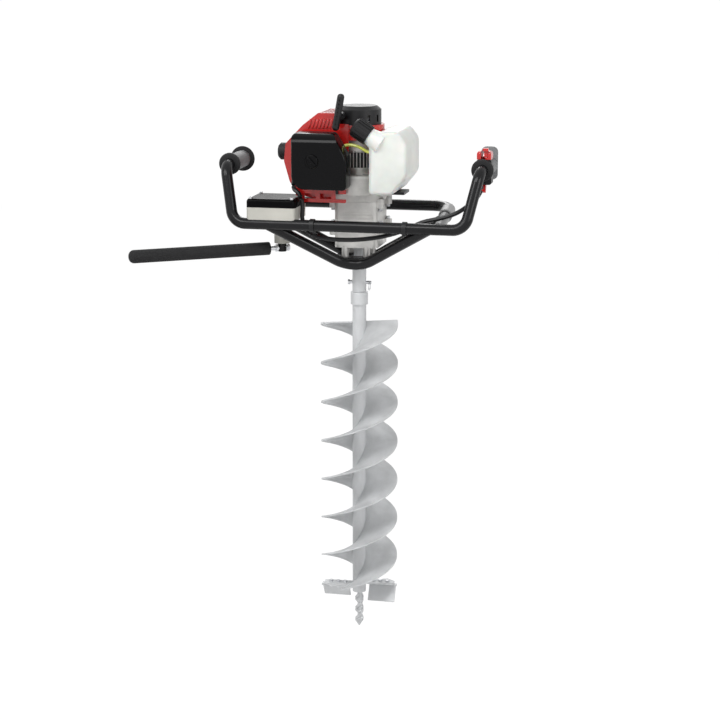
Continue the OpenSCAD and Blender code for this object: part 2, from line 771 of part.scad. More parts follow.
module output_gear() {
  color("#8f9296") difference() {
    translate([0, 0, output_gear_z])
      gear(second_module, output_gear_teeth, output_gear_w, 90 + 180 / output_gear_teeth);
    translate([0, 0, output_gear_z - 1])
      cylinder(h = output_gear_w + 2, d = output_shaft_d + 2 * running_fit);
  }
}

module intermediate_gear() {
  color("#8f9296") translate([0, shaft_gap, 0]) {
    translate([0, 0, output_gear_z]) gear(second_module, second_pinion_teeth, output_gear_w, 270);
    translate([0, 0, first_gear_z])
      gear(first_module, first_gear_teeth, first_gear_w, 270 + 180 / first_gear_teeth);
    translate([0, 0, cluster_bearing_z])
      cylinder(h = cluster_bearing[2] + 1, d = cluster_bearing[0] - 2 * running_fit);
    translate([0, 0, cluster_bearing_z + cluster_bearing[2] + 1])
      cylinder(h = output_gear_z - cluster_bearing_z - cluster_bearing[2] - 1, d = 10);
    translate([0, 0, output_gear_z + output_gear_w])
      cylinder(h = first_gear_z - output_gear_z - output_gear_w, d = 14);
    translate([0, 0, first_gear_z + first_gear_w])
      cylinder(h = input_bearing_z - first_gear_z - first_gear_w - 0.5, d = 16);
    translate([0, 0, input_bearing_z - 0.5])
      cylinder(h = cluster_bearing[2], d = cluster_bearing[0] - 2 * running_fit);
  }
}

module output_shaft() {
  color("#9fa2a6") difference() {
    union() {
      translate([0, 0, socket_low_z]) cylinder(h = socket_len - 4, d = bit_tube_d);
      translate([0, 0, socket_top_z - 4]) cylinder(h = 4, d1 = bit_tube_d, d2 = bit_tube_d - 6);
      translate([0, 0, socket_top_z]) cylinder(h = gearbox_z - socket_top_z - 1, d = bit_tube_d - 6);
      translate([0, 0, gearbox_z - 1])
        cylinder(h = mid_bearing_z - gearbox_z + 1, d = output_shaft_d - 2 * running_fit);
      translate([0, 0, mid_bearing_z]) cylinder(h = small_bearing[2], d = output_neck_d - 2 * running_fit);
    }
    translate([0, 0, socket_low_z - 1]) cylinder(h = socket_depth + 1, d = stub_d + 2 * running_fit);
    rod_left(40, 0, shaft_pin_z, shaft_pin_d / 2 + running_fit, 80);
  }
}

// Clutch
module clutch_drum() {
  color("#86898d") {
    translate([0, 0, first_gear_z - 2]) gear(first_module, pinion_teeth, first_gear_w + 4, 90);
    translate([0, 0, first_gear_z + first_gear_w + 2])
      cylinder(h = drum_z - first_gear_z - first_gear_w - 2, d = small_bearing[0] - 2 * running_fit);
    translate([0, 0, drum_z]) difference() {
      cylinder(h = drum_h, d = clutch_drum_d);
      translate([0, 0, drum_wall]) cylinder(h = drum_h, d = clutch_drum_d - 2 * drum_wall);
    }
  }
}

module clutch_shoes() {
  color("#6d6f73") {
    difference() {
      union() {
        translate([0, 0, shoe_z]) cylinder(h = shoe_h, r = 11);
        translate([-shoe_r + 6, -5, shoe_z]) cube([2 * shoe_r - 12, 10, shoe_h]);
      }
      translate([0, 0, shoe_z - 1]) cylinder(h = shoe_h + 2, d = 10 + 2 * running_fit);
      translate([0, 0, shoe_z + shoe_h / 2]) rotate_extrude() translate([shoe_r - 9, 0]) circle(r = 2);
    }
    for (side = [-1, 1]) difference() {
      translate([0, 0, shoe_z]) ring(2 * shoe_r, 23, shoe_h);
      translate([-shoe_r - 5, side > 0 ? -2 * shoe_r + 5 + seat_gap : -5 - seat_gap, shoe_z - 1])
        cube([2 * shoe_r + 10, 2 * shoe_r, shoe_h + 2]);
      translate([0, 0, shoe_z + shoe_h / 2]) rotate_extrude() translate([shoe_r - 9, 0]) circle(r = 2);
    }
    translate([0, 0, shoe_z + shoe_h / 2]) rotate_extrude() translate([shoe_r - 9, 0]) circle(r = 1.8);
  }
}

module clutch_housing() {
  floor_top = clutch_floor_z + clutch_floor_t;
  out_r = clutch_housing_d / 2;
  color("#9a9c9f") difference() {
    union() {
      gearbox_outline_box(clutch_floor_z, floor_top, 0);
      lugs(clutch_floor_z, floor_top);
      translate([0, 0, floor_top - 4]) cylinder(h = 16, r1 = out_r - 10, r2 = out_r);
      translate([0, 0, floor_top + 12]) cylinder(h = clutch_top_z - floor_top - 12, r = out_r);
      translate([0, 0, boss_low_z]) cylinder(h = 20, r = 20);
      translate([0, shaft_gap, boss_low_z]) cylinder(h = 20, r = 17);
    }
    translate([0, 0, floor_top]) cylinder(h = 13, r1 = out_r - 16, r2 = out_r - 4);
    translate([0, 0, floor_top + 12]) cylinder(h = 80, r = out_r - 4);
    translate([0, 0, boss_low_z - 1])
      cylinder(h = input_bearing_z + small_bearing[2] - boss_low_z + 1,
        d = small_bearing[1] + 2 * running_fit);
    translate([0, 0, boss_low_z]) cylinder(h = 60, d = small_bearing[0] + 3);
    translate([0, shaft_gap, boss_low_z - 1])
      cylinder(h = input_bearing_z + cluster_bearing[2] - boss_low_z + 1,
        d = cluster_bearing[1] + 2 * running_fit);
    for (x = [-lug_x, lug_x], y = lug_ys) translate([x, y, clutch_floor_z - 1])
      cylinder(h = 8, d = screw_d + 0.1);
    for (a = [20:12:160]) rotate([0, 0, a]) translate([out_r - 10, -2.5, floor_top + 18]) cube([20, 5, 22]);
  }
}

// Engine core
module crankcase() {
  color("#b3b5b8") difference() {
    union() {
      translate([0, 0, clutch_top_z]) cylinder(h = 6, r = clutch_housing_d / 2);
      translate([0, 0, clutch_top_z]) cylinder(h = crankcase_low_z - clutch_top_z, r = 33);
      translate([0, 0, crankcase_low_z]) cylinder(h = crankcase_high_z - crankcase_low_z, d = crankcase_d);
      rod_left(-20, 0, cylinder_z, barrel_r + 3, -cylinder_base_x - 20);
    }
    translate([0, 0, cylinder_z - chamber_half_h]) cylinder(h = 2 * chamber_half_h, r = chamber_r);
    translate([0, 0, cylinder_z - chamber_half_h - crank_bearing[2]])
      cylinder(h = 2 * (chamber_half_h + crank_bearing[2]), d = crank_bearing[1] + 2 * running_fit);
    translate([0, 0, clutch_top_z - 1]) cylinder(h = 200, d = crank_journal_d + 6);
    translate([0, 0, clutch_top_z - 1]) cylinder(h = crankcase_low_z - clutch_top_z - 4, r = 26);
    rod_left(0, 0, cylinder_z, cylinder_bore / 2 + 0.6, 80);
    for (a = [-130:10:-40]) rotate([0, 0, a])
      translate([crankcase_d / 2 - 6, -1.9, crankcase_low_z + 3]) cube([12, 3.8, 38]);
  }
}

module crankshaft() {
  color("#a5a8ac") {
    translate([0, 0, shoe_z]) cylinder(h = shoe_h + 6, d = 10);
    translate([0, 0, shoe_z + shoe_h + 1])
      cylinder(h = cylinder_z - web_gap / 2 - web_t - shoe_z - shoe_h, d = crank_journal_d - 2 * running_fit);
    for (z = [cylinder_z - web_gap / 2 - web_t, cylinder_z + web_gap / 2])
      difference() {
        translate([0, 0, z]) cylinder(h = web_t, r = web_r);
        for (side = [-1, 1]) translate([-web_r - 1, side * 19 - 8, z - 1]) cube([web_r, 16, web_t + 2]);
      }
    translate([-crank_throw, 0, cylinder_z - web_gap / 2 - 1]) cylinder(h = web_gap + 2, d = 12);
    translate([0, 0, cylinder_z + web_gap / 2 + web_t - 1])
      cylinder(h = crank_top_z - cylinder_z - web_gap / 2 - web_t + 1, d = crank_journal_d - 2 * running_fit);
  }
}

module cylinder_fins() {
  for (x = [cylinder_base_x - 14:-fin_pitch:head_x - 8]) rod_left(x, 0, cylinder_z, fin_d / 2, fin_t);
}

module port_block(side) {
  y0 = side < 0 ? shroud_front_y + 8 : 20;
  translate([-86, y0, cylinder_z - 14]) cube([28, 30, 28]);
}

module cylinder_block() {
  color("#aeb0b3") difference() {
    union() {
      rod_left(cylinder_base_x - seat_gap, 0, cylinder_z, barrel_r + 3, 6);
      rod_left(cylinder_base_x - seat_gap, 0, cylinder_z, barrel_r, -head_x + cylinder_base_x + 10);
      cylinder_fins();
      port_block(-1);
      port_block(1);
    }
    rod_left(cylinder_base_x + 1, 0, cylinder_z, cylinder_bore / 2, -head_x + cylinder_base_x + 1);
    translate([0, 0, crankcase_low_z - 1])
      cylinder(h = crankcase_high_z - crankcase_low_z + 2, r = crankcase_d / 2 + seat_gap);
    rod_left(head_x + 1, 0, cylinder_z, 7 + running_fit, 30);
    rod_front(-72, 0, cylinder_z, 9, 80);
    rod_front(-72, 80, cylinder_z, 9, 80);
  }
}

module piston() {
  color("#c9cbce") difference() {
    rod_left(piston_skirt_x, 0, cylinder_z, piston_r, piston_skirt_x - piston_crown_x);
    rod_left(piston_skirt_x + 1, 0, cylinder_z, piston_r - 4, piston_skirt_x - piston_crown_x - 6);
    for (x = [piston_crown_x + 4, piston_crown_x + 8]) translate([x, 0, cylinder_z]) rotate([0, -90, 0])
      ring(cylinder_bore + 2, cylinder_bore - 3, 1.5);
    rod_front(-rod_len - crank_throw, 40, cylinder_z, 5, 80);
  }
}

module spark_plug() {
  color("#dcdcd8") {
    rod_left(head_x + 0.5, 0, cylinder_z, 7, 12);
    translate([plug_x + 0.5, 0, cylinder_z]) rotate([0, -90, 0]) cylinder(h = 9, d = 21, $fn = 6);
    rod_left(plug_x - 8, 0, cylinder_z, 5.5, 28);
  }
}

module plug_boot() {
  color("#141415") difference() {
    union() {
      rod_left(boot_start_x + 10, 0, cylinder_z, 10, 12);
      rod_left(boot_start_x, 0, cylinder_z, boot_d / 2, boot_start_x - boot_end_x - 5);
      translate([boot_end_x + 5, 0, cylinder_z]) rotate([0, -90, 0])
        cylinder(h = 5, d1 = boot_d, d2 = boot_d - 10);
    }
    rod_left(boot_start_x + 11, 0, cylinder_z, 5.5 + seat_gap, 26);
  }
}

module muffler() {
  color("#6e7073") difference() {
    union() {
      rounded_box(muffler_lo, muffler_hi, 12);
      translate([-86, 50 + seat_gap, cylinder_z - 12]) cube([28, muffler_lo.y - 49, 24]);
      rod_left(muffler_lo.x + 4, 84, muffler_lo.z + 16, 8, 18);
    }
    rounded_box(muffler_lo + [2, 2, 2], muffler_hi - [2, 2, 2], 10);
    rod_front(-72, muffler_lo.y + 5, cylinder_z, 9, 40);
    rod_left(muffler_lo.x + 5, 84, muffler_lo.z + 16, 6.5, 40);
  }
}

module flywheel() {
  color("#9b9da0") difference() {
    union() {
      translate([0, 0, flywheel_z]) cylinder(h = 7, r = flywheel_r - 12);
      translate([0, 0, flywheel_z]) cylinder(h = 3, r = flywheel_r);
      translate([0, 0, flywheel_z]) cylinder(h = 16, r = 14);
      for (i = [0:13]) rotate([0, 0, i * 360 / 14]) translate([flywheel_r - 18, -1.5, flywheel_z + 1])
        cube([17, 3, flywheel_h - 1]);
    }
    translate([0, 0, flywheel_z - 1]) cylinder(h = flywheel_h + 2, d = crank_journal_d + 2 * running_fit);
  }
}

// Red cooling shroud over the cylinder and the fan
function shroud_outline(inset) = let (i = inset) rounded_outline([
  [-12, shroud_low_z + i], [-52, shroud_low_z + i], [-112 + i / 2, shroud_low_z + 10 + i],
  [-148 + i, shroud_low_z + 40 + i / 2], [-162 + i, cylinder_z - 16], [-158 + i, cylinder_z + 24 - i / 2],
  [-118 + i / 2, cylinder_z + 66 - i], [-82, shroud_top_z - i], [-42 - i, shroud_top_z - i], [-42 - i,
    shroud_step_z - i],
  [-12, shroud_step_z - i]], [1, 20, 14, 20, 14, 12, 6, 6, 3, 1, 1]);

module engine_shroud() {
  color("#b4231b") {
    difference() {
      union() {
        slab_y(shroud_outline(0), shroud_front_y, -shroud_front_y);
        translate([0, 0, fan_ring_low_z])
          cylinder(h = starter_low_z - fan_ring_low_z, r = fan_ring_r + cover_wall);
      }
      slab_y(shroud_outline(cover_wall), shroud_front_y + cover_wall, -shroud_front_y - cover_wall);
      translate([-20, shroud_front_y + cover_wall, shroud_low_z + 5])
        cube([60, -2 * shroud_front_y - 2 * cover_wall, fan_ring_low_z - shroud_low_z - 5]);
      translate([0, 0, fan_ring_low_z + cover_wall]) cylinder(h = 80, r = fan_ring_r);
      translate([0, 0, fan_ring_low_z - 1]) cylinder(h = 20, r = crankcase_d / 2 + 2);
      translate([0, 0, shroud_low_z - 5])
        cylinder(h = clutch_top_z + 13 - shroud_low_z, r = clutch_housing_d / 2 + 2);
      translate([0, 0, starter_low_z]) cylinder(h = 60, r = starter_d / 2 + seat_gap);
      rod_left(-130, 0, cylinder_z, boot_d / 2 + 1, 40);
      rod_front(-72, 0, cylinder_z, 17, 100);
      translate([-90, 40, cylinder_z - 17]) cube([36, 40, 34]);
      for (y = lug_ys) translate([-lug_x, y, clutch_floor_z - 1])
        cylinder(h = clutch_floor_t + 2, r = lug_r + 1);
      gearbox_outline_box(clutch_floor_z - 1, clutch_floor_z + clutch_floor_t + 1, -1);
      translate([switch_box_at.x, switch_box_at.y, switch_box_z])
        cube([switch_box_w + 1, switch_box_depth + 1, switch_base_h + switch_lid_h + 1]);
      for (i = [0:5]) translate([-84 + i * 7, shroud_front_y + 14, shroud_top_z - 8]) cube([3, 90, 12]);
      for (i = [0:3]) translate([-140 + i * 8, -40, shroud_low_z - 2]) cube([4, 80, 60]);
    }
    translate([0, 0, starter_low_z - 2.8]) ring(2 * (fan_ring_r + cover_wall), starter_d - 8, 2.5);
    difference() {
      slab_y(rounded_outline([[-130, lid_top_z + 1.5], [-117, lid_top_z + 1.5], [-117, shroud_low_z + 4],
        [-113, shroud_low_z], [-14, shroud_low_z], [-14, 1062], [-130,
          1062]], [3, 1, 1, 1, 3, 3, 3]), -76, -73);
      for (x = [-110, -74, -38]) translate([x, -78, shroud_low_z + 8]) cube([26, 8, 12]);
    }
    translate([-129, -74, 1048]) cube(apron_rib);
  }
}

// Starter
module starter_housing() {
  color("#161618") {
    translate([0, 0, pulley_z - 0.5]) cylinder(h = starter_top_z - 8 - pulley_z, d = 12);
    translate([0, 0, pulley_z + pulley_h + 0.3])
      cylinder(h = starter_top_z - 8 - pulley_z - pulley_h, r = 10);
  }
  color("#161618") difference() {
    union() {
      translate([0, 0, starter_low_z]) cylinder(h = starter_top_z - 8 - starter_low_z, d = starter_d);
      translate([0, 0, starter_top_z - 8]) cylinder(h = 8, d1 = starter_d, d2 = starter_d - 20);
      rod_front(handle_x, -36, rope_z, 9, 36);
    }
    translate([0, 0, starter_low_z - 1])
      cylinder(h = starter_top_z - 8 - starter_low_z, d = starter_d - 2 * cover_wall);
    rod_front(handle_x, -20, rope_z, rope_d / 2 + 0.4, 60);
    for (i = [0:11]) if (i != 8 && i != 9) rotate([0, 0, i * 30 + 8])
      translate([30, -3, starter_low_z + 6]) cube([30, 6, 16]);
  }
}

module starter_pulley() {
  color("#d8d6cc") difference() {
    translate([0, 0, pulley_z]) cylinder(h = pulley_h, r = pulley_r + 8);
    translate([0, 0, pulley_z + 3]) ring(2 * (pulley_r + 9), 2 * (pulley_r - 1), pulley_h - 6);
    translate([0, 0, pulley_z - 1]) cylinder(h = 20, d = 12 + 2 * running_fit);
  }
  color("#e8e4d8") translate([0, 0, pulley_z + 3.3])
    ring(2 * (pulley_r + 1.5), 2 * (pulley_r - 1) + 0.2, pulley_h - 6.6);
}

// Flat rewind spring, a spiral of eight turns
module rewind_spring() {
  turns = 7;
  step = 10;
  gap = 2.4;
  color("#7d8084") translate([0, 0, spring_z]) linear_extrude(8) polygon(concat(
    [for (a = [0:step:turns * 360]) (13 + gap * a / 360) * [cos(a), sin(a)]],
    [for (a = [turns * 360:-step:0]) (12.4 + gap * a / 360) * [cos(a), sin(a)]]));
}

module starter_handle() {
  color("#1a1a1c") translate([handle_x, handle_y, rope_z + handle_rise]) {
    difference() {
      rotate([0, handle_lean, 0]) union() {
        translate([0, 0, -handle_len / 2 + handle_r]) cylinder(h = handle_len - 2 * handle_r, r = handle_r);
        for (z = [-handle_len / 2 + handle_r, handle_len / 2 - handle_r]) translate([0, 0, z])
          sphere(r = handle_r);
      }
      for (i = [-3:3]) rotate([0, handle_lean, 0]) translate([0, -handle_r - 1, i * 9])
        rotate([-90, 0, 0]) cylinder(h = 4, r = 2);
    }
    rod_front(0, 13.7, -handle_rise, 6, 8);
  }
}

// Carburettor side
module carburettor() {
  color("#a7a9ad") difference() {
    union() {
      translate([carb_x - carb_w / 2, -78, cylinder_z - carb_h / 2]) cube([carb_w, 18, carb_h]);
      rod_front(-72, shroud_front_y + 8 - 0.2, cylinder_z, 13, 16);
      rod_front(-72, -75, cylinder_z, 13, filter_base_y * -1 - 75 - seat_gap);
      translate([-100, -74, 1112]) cube([10, 8, 14]);
    }
    rod_front(-72, 0, cylinder_z, 9, 100);
    translate([carb_x, -69, cylinder_z - carb_h / 2 - 1]) cylinder(h = 8, r = 7);
  }
}

module throttle_lever() {
  color("#c9b46a") {
    translate([-94.5, -70, cylinder_z + 0.3]) rotate([0, 90, 0]) cylinder(h = 2.2, r = 5);
    translate([-94.5, -72, cylinder_z - 8]) cube([2.2, 4, 10]);
  }
}

module choke_lever() {
  color("#1c1c1e") {
    rod_front(choke_at.x, choke_at.y, choke_at.z, 6, 3);
    translate([choke_at.x - 3, choke_at.y - 3, choke_at.z - 26]) cube([6, 3, 24]);
    rod_front(choke_at.x, choke_at.y - 2, choke_at.z, 2.5, 5);
  }
}

module primer_bulb() {
  color("#c9c3a8") translate([carb_x, -69, cylinder_z - carb_h / 2 + 2.5]) rotate([180, 0, 0])
    rotate_extrude()
    polygon([[0, 0], [6.7, 0], [6.7, 4], [6.2, 7], [4.5, 10], [2, 11.6], [0, 12]]);
}

function filter_outline(inset) = let (i = inset, left = filter_left_x, right = filter_left_x + filter_w,
  low = filter_low_z, high = filter_low_z + filter_h) rounded_outline([
  [left + i, low + i], [right - i, low + i], [right - i, high - 52], [right - 31 - i / 2, high - i],
  [left + i, high - i]], [30, 8, 10, 10, 12]);

module filter_base() {
  color("#141416") difference() {
    slab_y(filter_outline(0), filter_back_y, filter_base_y);
    rod_front(-72, 0, cylinder_z, 9, 120);
    rod_front(choke_at.x, 0, choke_at.z, 2.5 + running_fit, 120);
  }
}

module filter_element() {
  color("#d9d4c0") difference() {
    slab_y(rounded_outline([[-112, 1092], [-36, 1092], [-36, 1166], [-112, 1166]], 6), filter_back_y - 30,
      filter_back_y - seat_gap);
    slab_y(rounded_outline([[-106, 1098], [-42, 1098], [-42, 1160], [-106, 1160]], 4), filter_back_y - 24,
      filter_back_y + 1);
    rod_front(filter_knob_x, 0, filter_knob_z, 4.6, 200);
  }
}

module filter_cover() {
  front = filter_back_y - filter_depth;
  color("#0f0f11") difference() {
    union() {
      slab_y(filter_outline(0), front + 8, filter_back_y - seat_gap);
      slab_y(filter_outline(3), front + 3, front + 8.1);
      slab_y(filter_outline(8), front, front + 3.1);
    }
    slab_y(filter_outline(8 + cover_wall), front + cover_wall, front + 6);
    slab_y(filter_outline(3 + cover_wall), front + 5.5, front + 11);
    slab_y(filter_outline(cover_wall), front + 10.5, filter_back_y + 1);
    rod_front(filter_knob_x, 0, filter_knob_z, 5, 200);
    rod_front(filter_knob_x, front + 1.6, filter_knob_z, filter_knob_d / 2 + 1, 5);
  }
}

module filter_knob() {
  front = filter_back_y - filter_depth;
  color("#1a1a1c") {
    rod_front(filter_knob_x, front + 1.3, filter_knob_z, filter_knob_d / 2, 4);
    translate([filter_knob_x, front - 2, filter_knob_z]) rotate([0, 45, 0])
      translate([-3, -4, -filter_knob_d / 2 + 1.5]) cube([6, 5, filter_knob_d - 3]);
    rod_front(filter_knob_x, filter_back_y - 0.3, filter_knob_z, 4.3, filter_depth - 0.5);
  }
}

// Fuel side
function tank_outline(inset) = let (i = inset, left = tank_left_x, right = tank_left_x + tank_w)
  rounded_outline([[left + i, tank_low_z + i], [right - 34, tank_low_z + i], [right - i, tank_low_z + 42],
  [right - i, tank_high_z - 26], [right - 20, tank_high_z - i], [left + 34, tank_high_z - i],
  [left + 24, tank_high_z - 9 - i], [left + i, tank_high_z - 12 - i]], [8, 10, 12, 12, 10, 4, 3, 6]);

module tank_solid(inset) {
  intersection() {
    slab_y(tank_outline(inset), tank_front_y + inset, tank_front_y + tank_depth - inset);
    rounded_box([tank_left_x - 5, tank_front_y + inset, tank_low_z - 5],
      [tank_left_x + tank_w - inset, tank_front_y + tank_depth - inset, tank_high_z + 5], 18);
  }
}

module tank_recess(extra) {
  translate([0, 0, tank_low_z - 10])
    cylinder(h = clutch_top_z + 9 - tank_low_z + 10 + extra, r = clutch_housing_d / 2 + 3 + extra);
  translate([0, 0, tank_low_z - 10]) cylinder(h = 300, r = fan_ring_r + cover_wall + 2 + extra);
}

module fuel_tank() {
  color("#e4e6e4") difference() {
    union() {
      difference() {
        tank_solid(0);
        tank_recess(0);
      }
      placed(neck_at - neck_len * neck_dir, neck_dir)
        cylinder(h = neck_len - 12, r1 = neck_root_r, r2 = neck_d / 2);
      placed(neck_at - 13 * neck_dir, neck_dir) cylinder(h = 13, d = neck_d);
    }
    difference() {
      tank_solid(tank_wall);
      tank_recess(tank_wall);
    }
    placed(neck_at - 34 * neck_dir, neck_dir) cylinder(h = 40, d = neck_d - 6);
  }
}

module fuel_cap() {
  color("#131315") placed(neck_at, neck_dir) difference() {
    union() {
      translate([0, 0, -12]) cylinder(h = fuel_cap_len + 12 - 4, d = fuel_cap_d - 3);
      translate([0, 0, fuel_cap_len - 4]) cylinder(h = 4, d1 = fuel_cap_d - 3, d2 = fuel_cap_d - 12);
      for (i = [0:17]) rotate([0, 0, i * 20]) translate([fuel_cap_d / 2 - 3, -1.5, -11])
        cube([3, 3, fuel_cap_len + 5]);
    }
    translate([0, 0, -13]) cylinder(h = 13.2, d = neck_d + 2 * running_fit);
  }
}

module fuel_hose() {
  color("#c9cf5a") swept_tube(HOSE_ROUTE, hose_d, 10, 3);
}

module tank_bracket() {
  color("#1d1d1f") difference() {
    translate([clutch_housing_d / 2 - 6, -30, tank_low_z - 6.3]) cube([46, 60, 6]);
    translate([0, 0, tank_low_z - 20]) cylinder(h = 60, r = clutch_housing_d / 2 + seat_gap);
  }
}

// Kick-back bar
module switch_box_base() {
  color("#c9c7ba") difference() {
    union() {
      rounded_box([switch_box_at.x, switch_box_at.y, switch_box_z - 5], [switch_box_hi.x, switch_box_hi.y,
        lid_z], 8);
      translate([pivot_at.x, pivot_at.y, leg_bar_z + 11.6])
        cylinder(h = lid_z - leg_bar_z - 11.6, d = pivot_housing_d);
    }
    difference() {
      rounded_box([switch_box_at.x + 3, switch_box_at.y + 3, switch_box_z + 8], [switch_box_hi.x - 3,
        switch_box_hi.y - 3, lid_z + 1], 6);
      for (at = lid_screw_ats) translate([at.x, at.y, switch_box_z]) cylinder(h = switch_base_h, r = 5.5);
    }
    front_bar_rod(tube_r + seat_gap);
    bent_rod(hoop_points, hoop_bend, tube_r + seat_gap);
    translate([pivot_at.x, pivot_at.y, leg_bar_z]) cylinder(h = 200, d = 12 + 2 * running_fit);
    for (at = lid_screw_ats) translate([at.x, at.y, lid_z - 10]) cylinder(h = 20, d = 5.1);
  }
}

module switch_box_lid() {
  color("#161618") difference() {
    union() {
      rounded_box([switch_box_at.x, switch_box_at.y, lid_z + seat_gap], [switch_box_hi.x, switch_box_hi.y,
        lid_top_z - 6], 8);
      rounded_box([switch_box_at.x + 5, switch_box_at.y + 5, lid_top_z - 6.1], [switch_box_hi.x - 5,
        switch_box_hi.y - 5, lid_top_z], 8);
    }
    difference() {
      rounded_box([switch_box_at.x + 3, switch_box_at.y + 3, lid_z - 1], [switch_box_hi.x - 3,
        switch_box_hi.y - 3, lid_top_z - 9], 6);
      for (at = lid_screw_ats) translate([at.x, at.y, lid_z]) cylinder(h = switch_lid_h, r = 5.5);
    }
    for (at = lid_screw_ats) {
      translate([at.x, at.y, lid_z - 1]) cylinder(h = switch_lid_h + 2, d = 5.4);
      translate([at.x, at.y, lid_top_z - 2]) cylinder(h = 10, d = 9);
    }
  }
}

module pivot_shaft() {
  color("#1b1b1d") difference() {
    union() {
      translate([pivot_at.x, pivot_at.y, leg_bar_z - 4]) cylinder(h = lid_z - leg_bar_z + 8, d = 12);
      translate([pivot_at.x, pivot_at.y, leg_bar_z - clamp_h / 2 + 4]) cylinder(h = clamp_h - 6, d = clamp_d);
      translate([pivot_at.x, pivot_at.y, lid_z + 1]) cylinder(h = 4, d = 24);
      translate([pivot_at.x, pivot_at.y - 4, lid_z + 1]) cube([26, 8, 4]);
    }
    placed([pivot_at.x, pivot_at.y, leg_bar_z] - 40 * leg_bar_dir, leg_bar_dir)
      cylinder(h = 80, r = leg_rod_d / 2 + running_fit);
  }
}

module leg_bar_rod() {
  color("#c2c4c7") placed([pivot_at.x, pivot_at.y, leg_bar_z] - 17 * leg_bar_dir, leg_bar_dir) {
    cylinder(h = foam_start + foam_len + 2, d = leg_rod_d);
    cylinder(h = 5, d = 17, $fn = 6);
    translate([0, 0, 28]) cylinder(h = 5, d = 17);
  }
}

module leg_bar_foam() {
  color("#3a3a3d") placed([pivot_at.x, pivot_at.y, leg_bar_z] + foam_start * leg_bar_dir, leg_bar_dir)
    difference() {
    union() {
      cylinder(h = foam_len - foam_d / 2, d = foam_d);
      translate([0, 0, foam_len - foam_d / 2]) sphere(d = foam_d);
    }
    translate([0, 0, -1]) cylinder(h = foam_len - 14, r = leg_rod_d / 2 + seat_gap);
  }
}

// Earth bit
module auger_tube() {
  color("#b6b8ba") difference() {
    union() {
      translate([0, 0, pilot_len]) cylinder(h = collar_top_z - collar_len - pilot_len, d = bit_tube_d);
      translate([0, 0, collar_top_z - collar_len]) cylinder(h = collar_len, d = collar_d);
      translate([0, 0, collar_top_z]) cylinder(h = stub_len, d = stub_d);
      for (side = [0, 180]) rotate([0, 0, side]) cutter_plate();
    }
    translate([0, 0, pilot_len - 1])
      cylinder(h = collar_top_z - collar_len - pilot_len - 9, d = bit_tube_bore);
    rod_left(40, 0, shaft_pin_z, shaft_pin_d / 2 + running_fit, 80);
    for (side = [0, 180]) rotate([0, 0, side]) for (x = bolt_xs)
      translate([x, blade_y + 4, cutter_plate_z - 1]) cylinder(h = cutter_plate_t + 2, d = screw_d + 0.2);
  }
}

// Level plate welded to the tube that carries one blade
module cutter_plate() {
  translate([0, 0, cutter_plate_z]) linear_extrude(cutter_plate_t) polygon([
    [10, -2], [bit_d / 2 - 8, 2], [bit_d / 2 - 8, 20], [bit_d / 2 - 28, 34], [10, 14]]);
}

function flight_grid(start_turn) =
  let (steps = ceil((flight_high_z - flight_low_z) / flight_pitch * 32),
       r_in = bit_tube_d / 2 / cos(180 / 32) + 0.01, r_out = bit_d / 2)
  [for (i = [0:steps]) let (z = flight_high_z - (flight_high_z - flight_low_z) * i / steps,
       a = start_turn + (z - flight_high_z) / flight_pitch * 360, c = cos(a), s = sin(a))
    each [[r_in * c, r_in * s, z], [r_out * c, r_out * s, z],
          [r_out * c, r_out * s, z - flight_t], [r_in * c, r_in * s, z - flight_t]]];

module flight(start_turn) {
  points = flight_grid(start_turn);
  m = len(points) / 4;
  sides = [for (i = [0:m - 2], k = [0:3]) let (q = (k + 1) % 4, a = i * 4, b = a + 4)
    each k == 2 ? [[a + k, a + q, b + k], [a + q, b + q, b + k]] : [[a + k, a + q, b + q], [a + k, b + q,
      b + k]]];
  polyhedron(points, concat(sides, [[0, 3, 2, 1]], [[(m - 1) * 4, (m - 1) * 4 + 1, (m - 1) * 4 + 2,
    (m - 1) * 4 + 3]]));
}

module flight_a() {
  color("#b9bbbd") flight(flight_start);
}

module flight_b() {
  color("#b9bbbd") flight(flight_start + 180);
}

module shaft_pin() {
  ring_x = 24;
  color("#c3c5c8") {
    difference() {
      union() {
        rod_left(28, 0, shaft_pin_z, shaft_pin_d / 2, 50);
        rod_left(-22, 0, shaft_pin_z, 6, 4);
      }
      rod_front(ring_x, 20, shaft_pin_z, 2.2, 40);
    }
    translate([ring_x, 0, shaft_pin_z - 9]) rotate([0, 90, 0]) rotate_extrude() translate([9, 0])
      circle(r = 1);
  }
}

module cutting_blades() {
  color("#a7a9ab") for (side = [0, 180]) rotate([0, 0, side]) difference() {
    union() {
      translate([24, blade_y - 4, cutter_plate_z - 5.2]) cube([bit_d / 2 - 26, 14, 5]);
      translate([24, blade_y - 4, cutter_plate_z - 0.2]) rotate([-180 + blade_slope, 0, 0])
        cube([bit_d / 2 - 26, blade_len, 5]);
    }
    for (x = bolt_xs) translate([x, blade_y + 4, cutter_plate_z - 20]) cylinder(h = 60, d = screw_d + 0.2);
  }
}

module blade_bolts() {
  color("#c4c5c8") for (side = [0, 180]) rotate([0, 0, side]) for (x = bolt_xs)
    translate([x, blade_y + 4, cutter_plate_z + cutter_plate_t]) rotate([180, 0, 0]) {
      translate([0, 0, -4]) cylinder(h = 4, d = 10, $fn = 6);
      cylinder(h = cutter_plate_t + 9, d = screw_d);
    }
}

module pilot_tip() {
  color("#a9abad") {
    translate([0, 0, tip_h])
      linear_extrude(height = pilot_len - tip_h, twist = -pilot_twist, slices = 30, segments = 8)
      square([pilot_w, pilot_t], center = true);
    linear_extrude(height = tip_h, scale = 8, segments = 4)
      square([pilot_w / 8, pilot_t / 8], center = true);
    translate([0, 0, pilot_len]) cylinder(h = pilot_shank_len, d = bit_tube_bore - 2 * running_fit);
  }
}

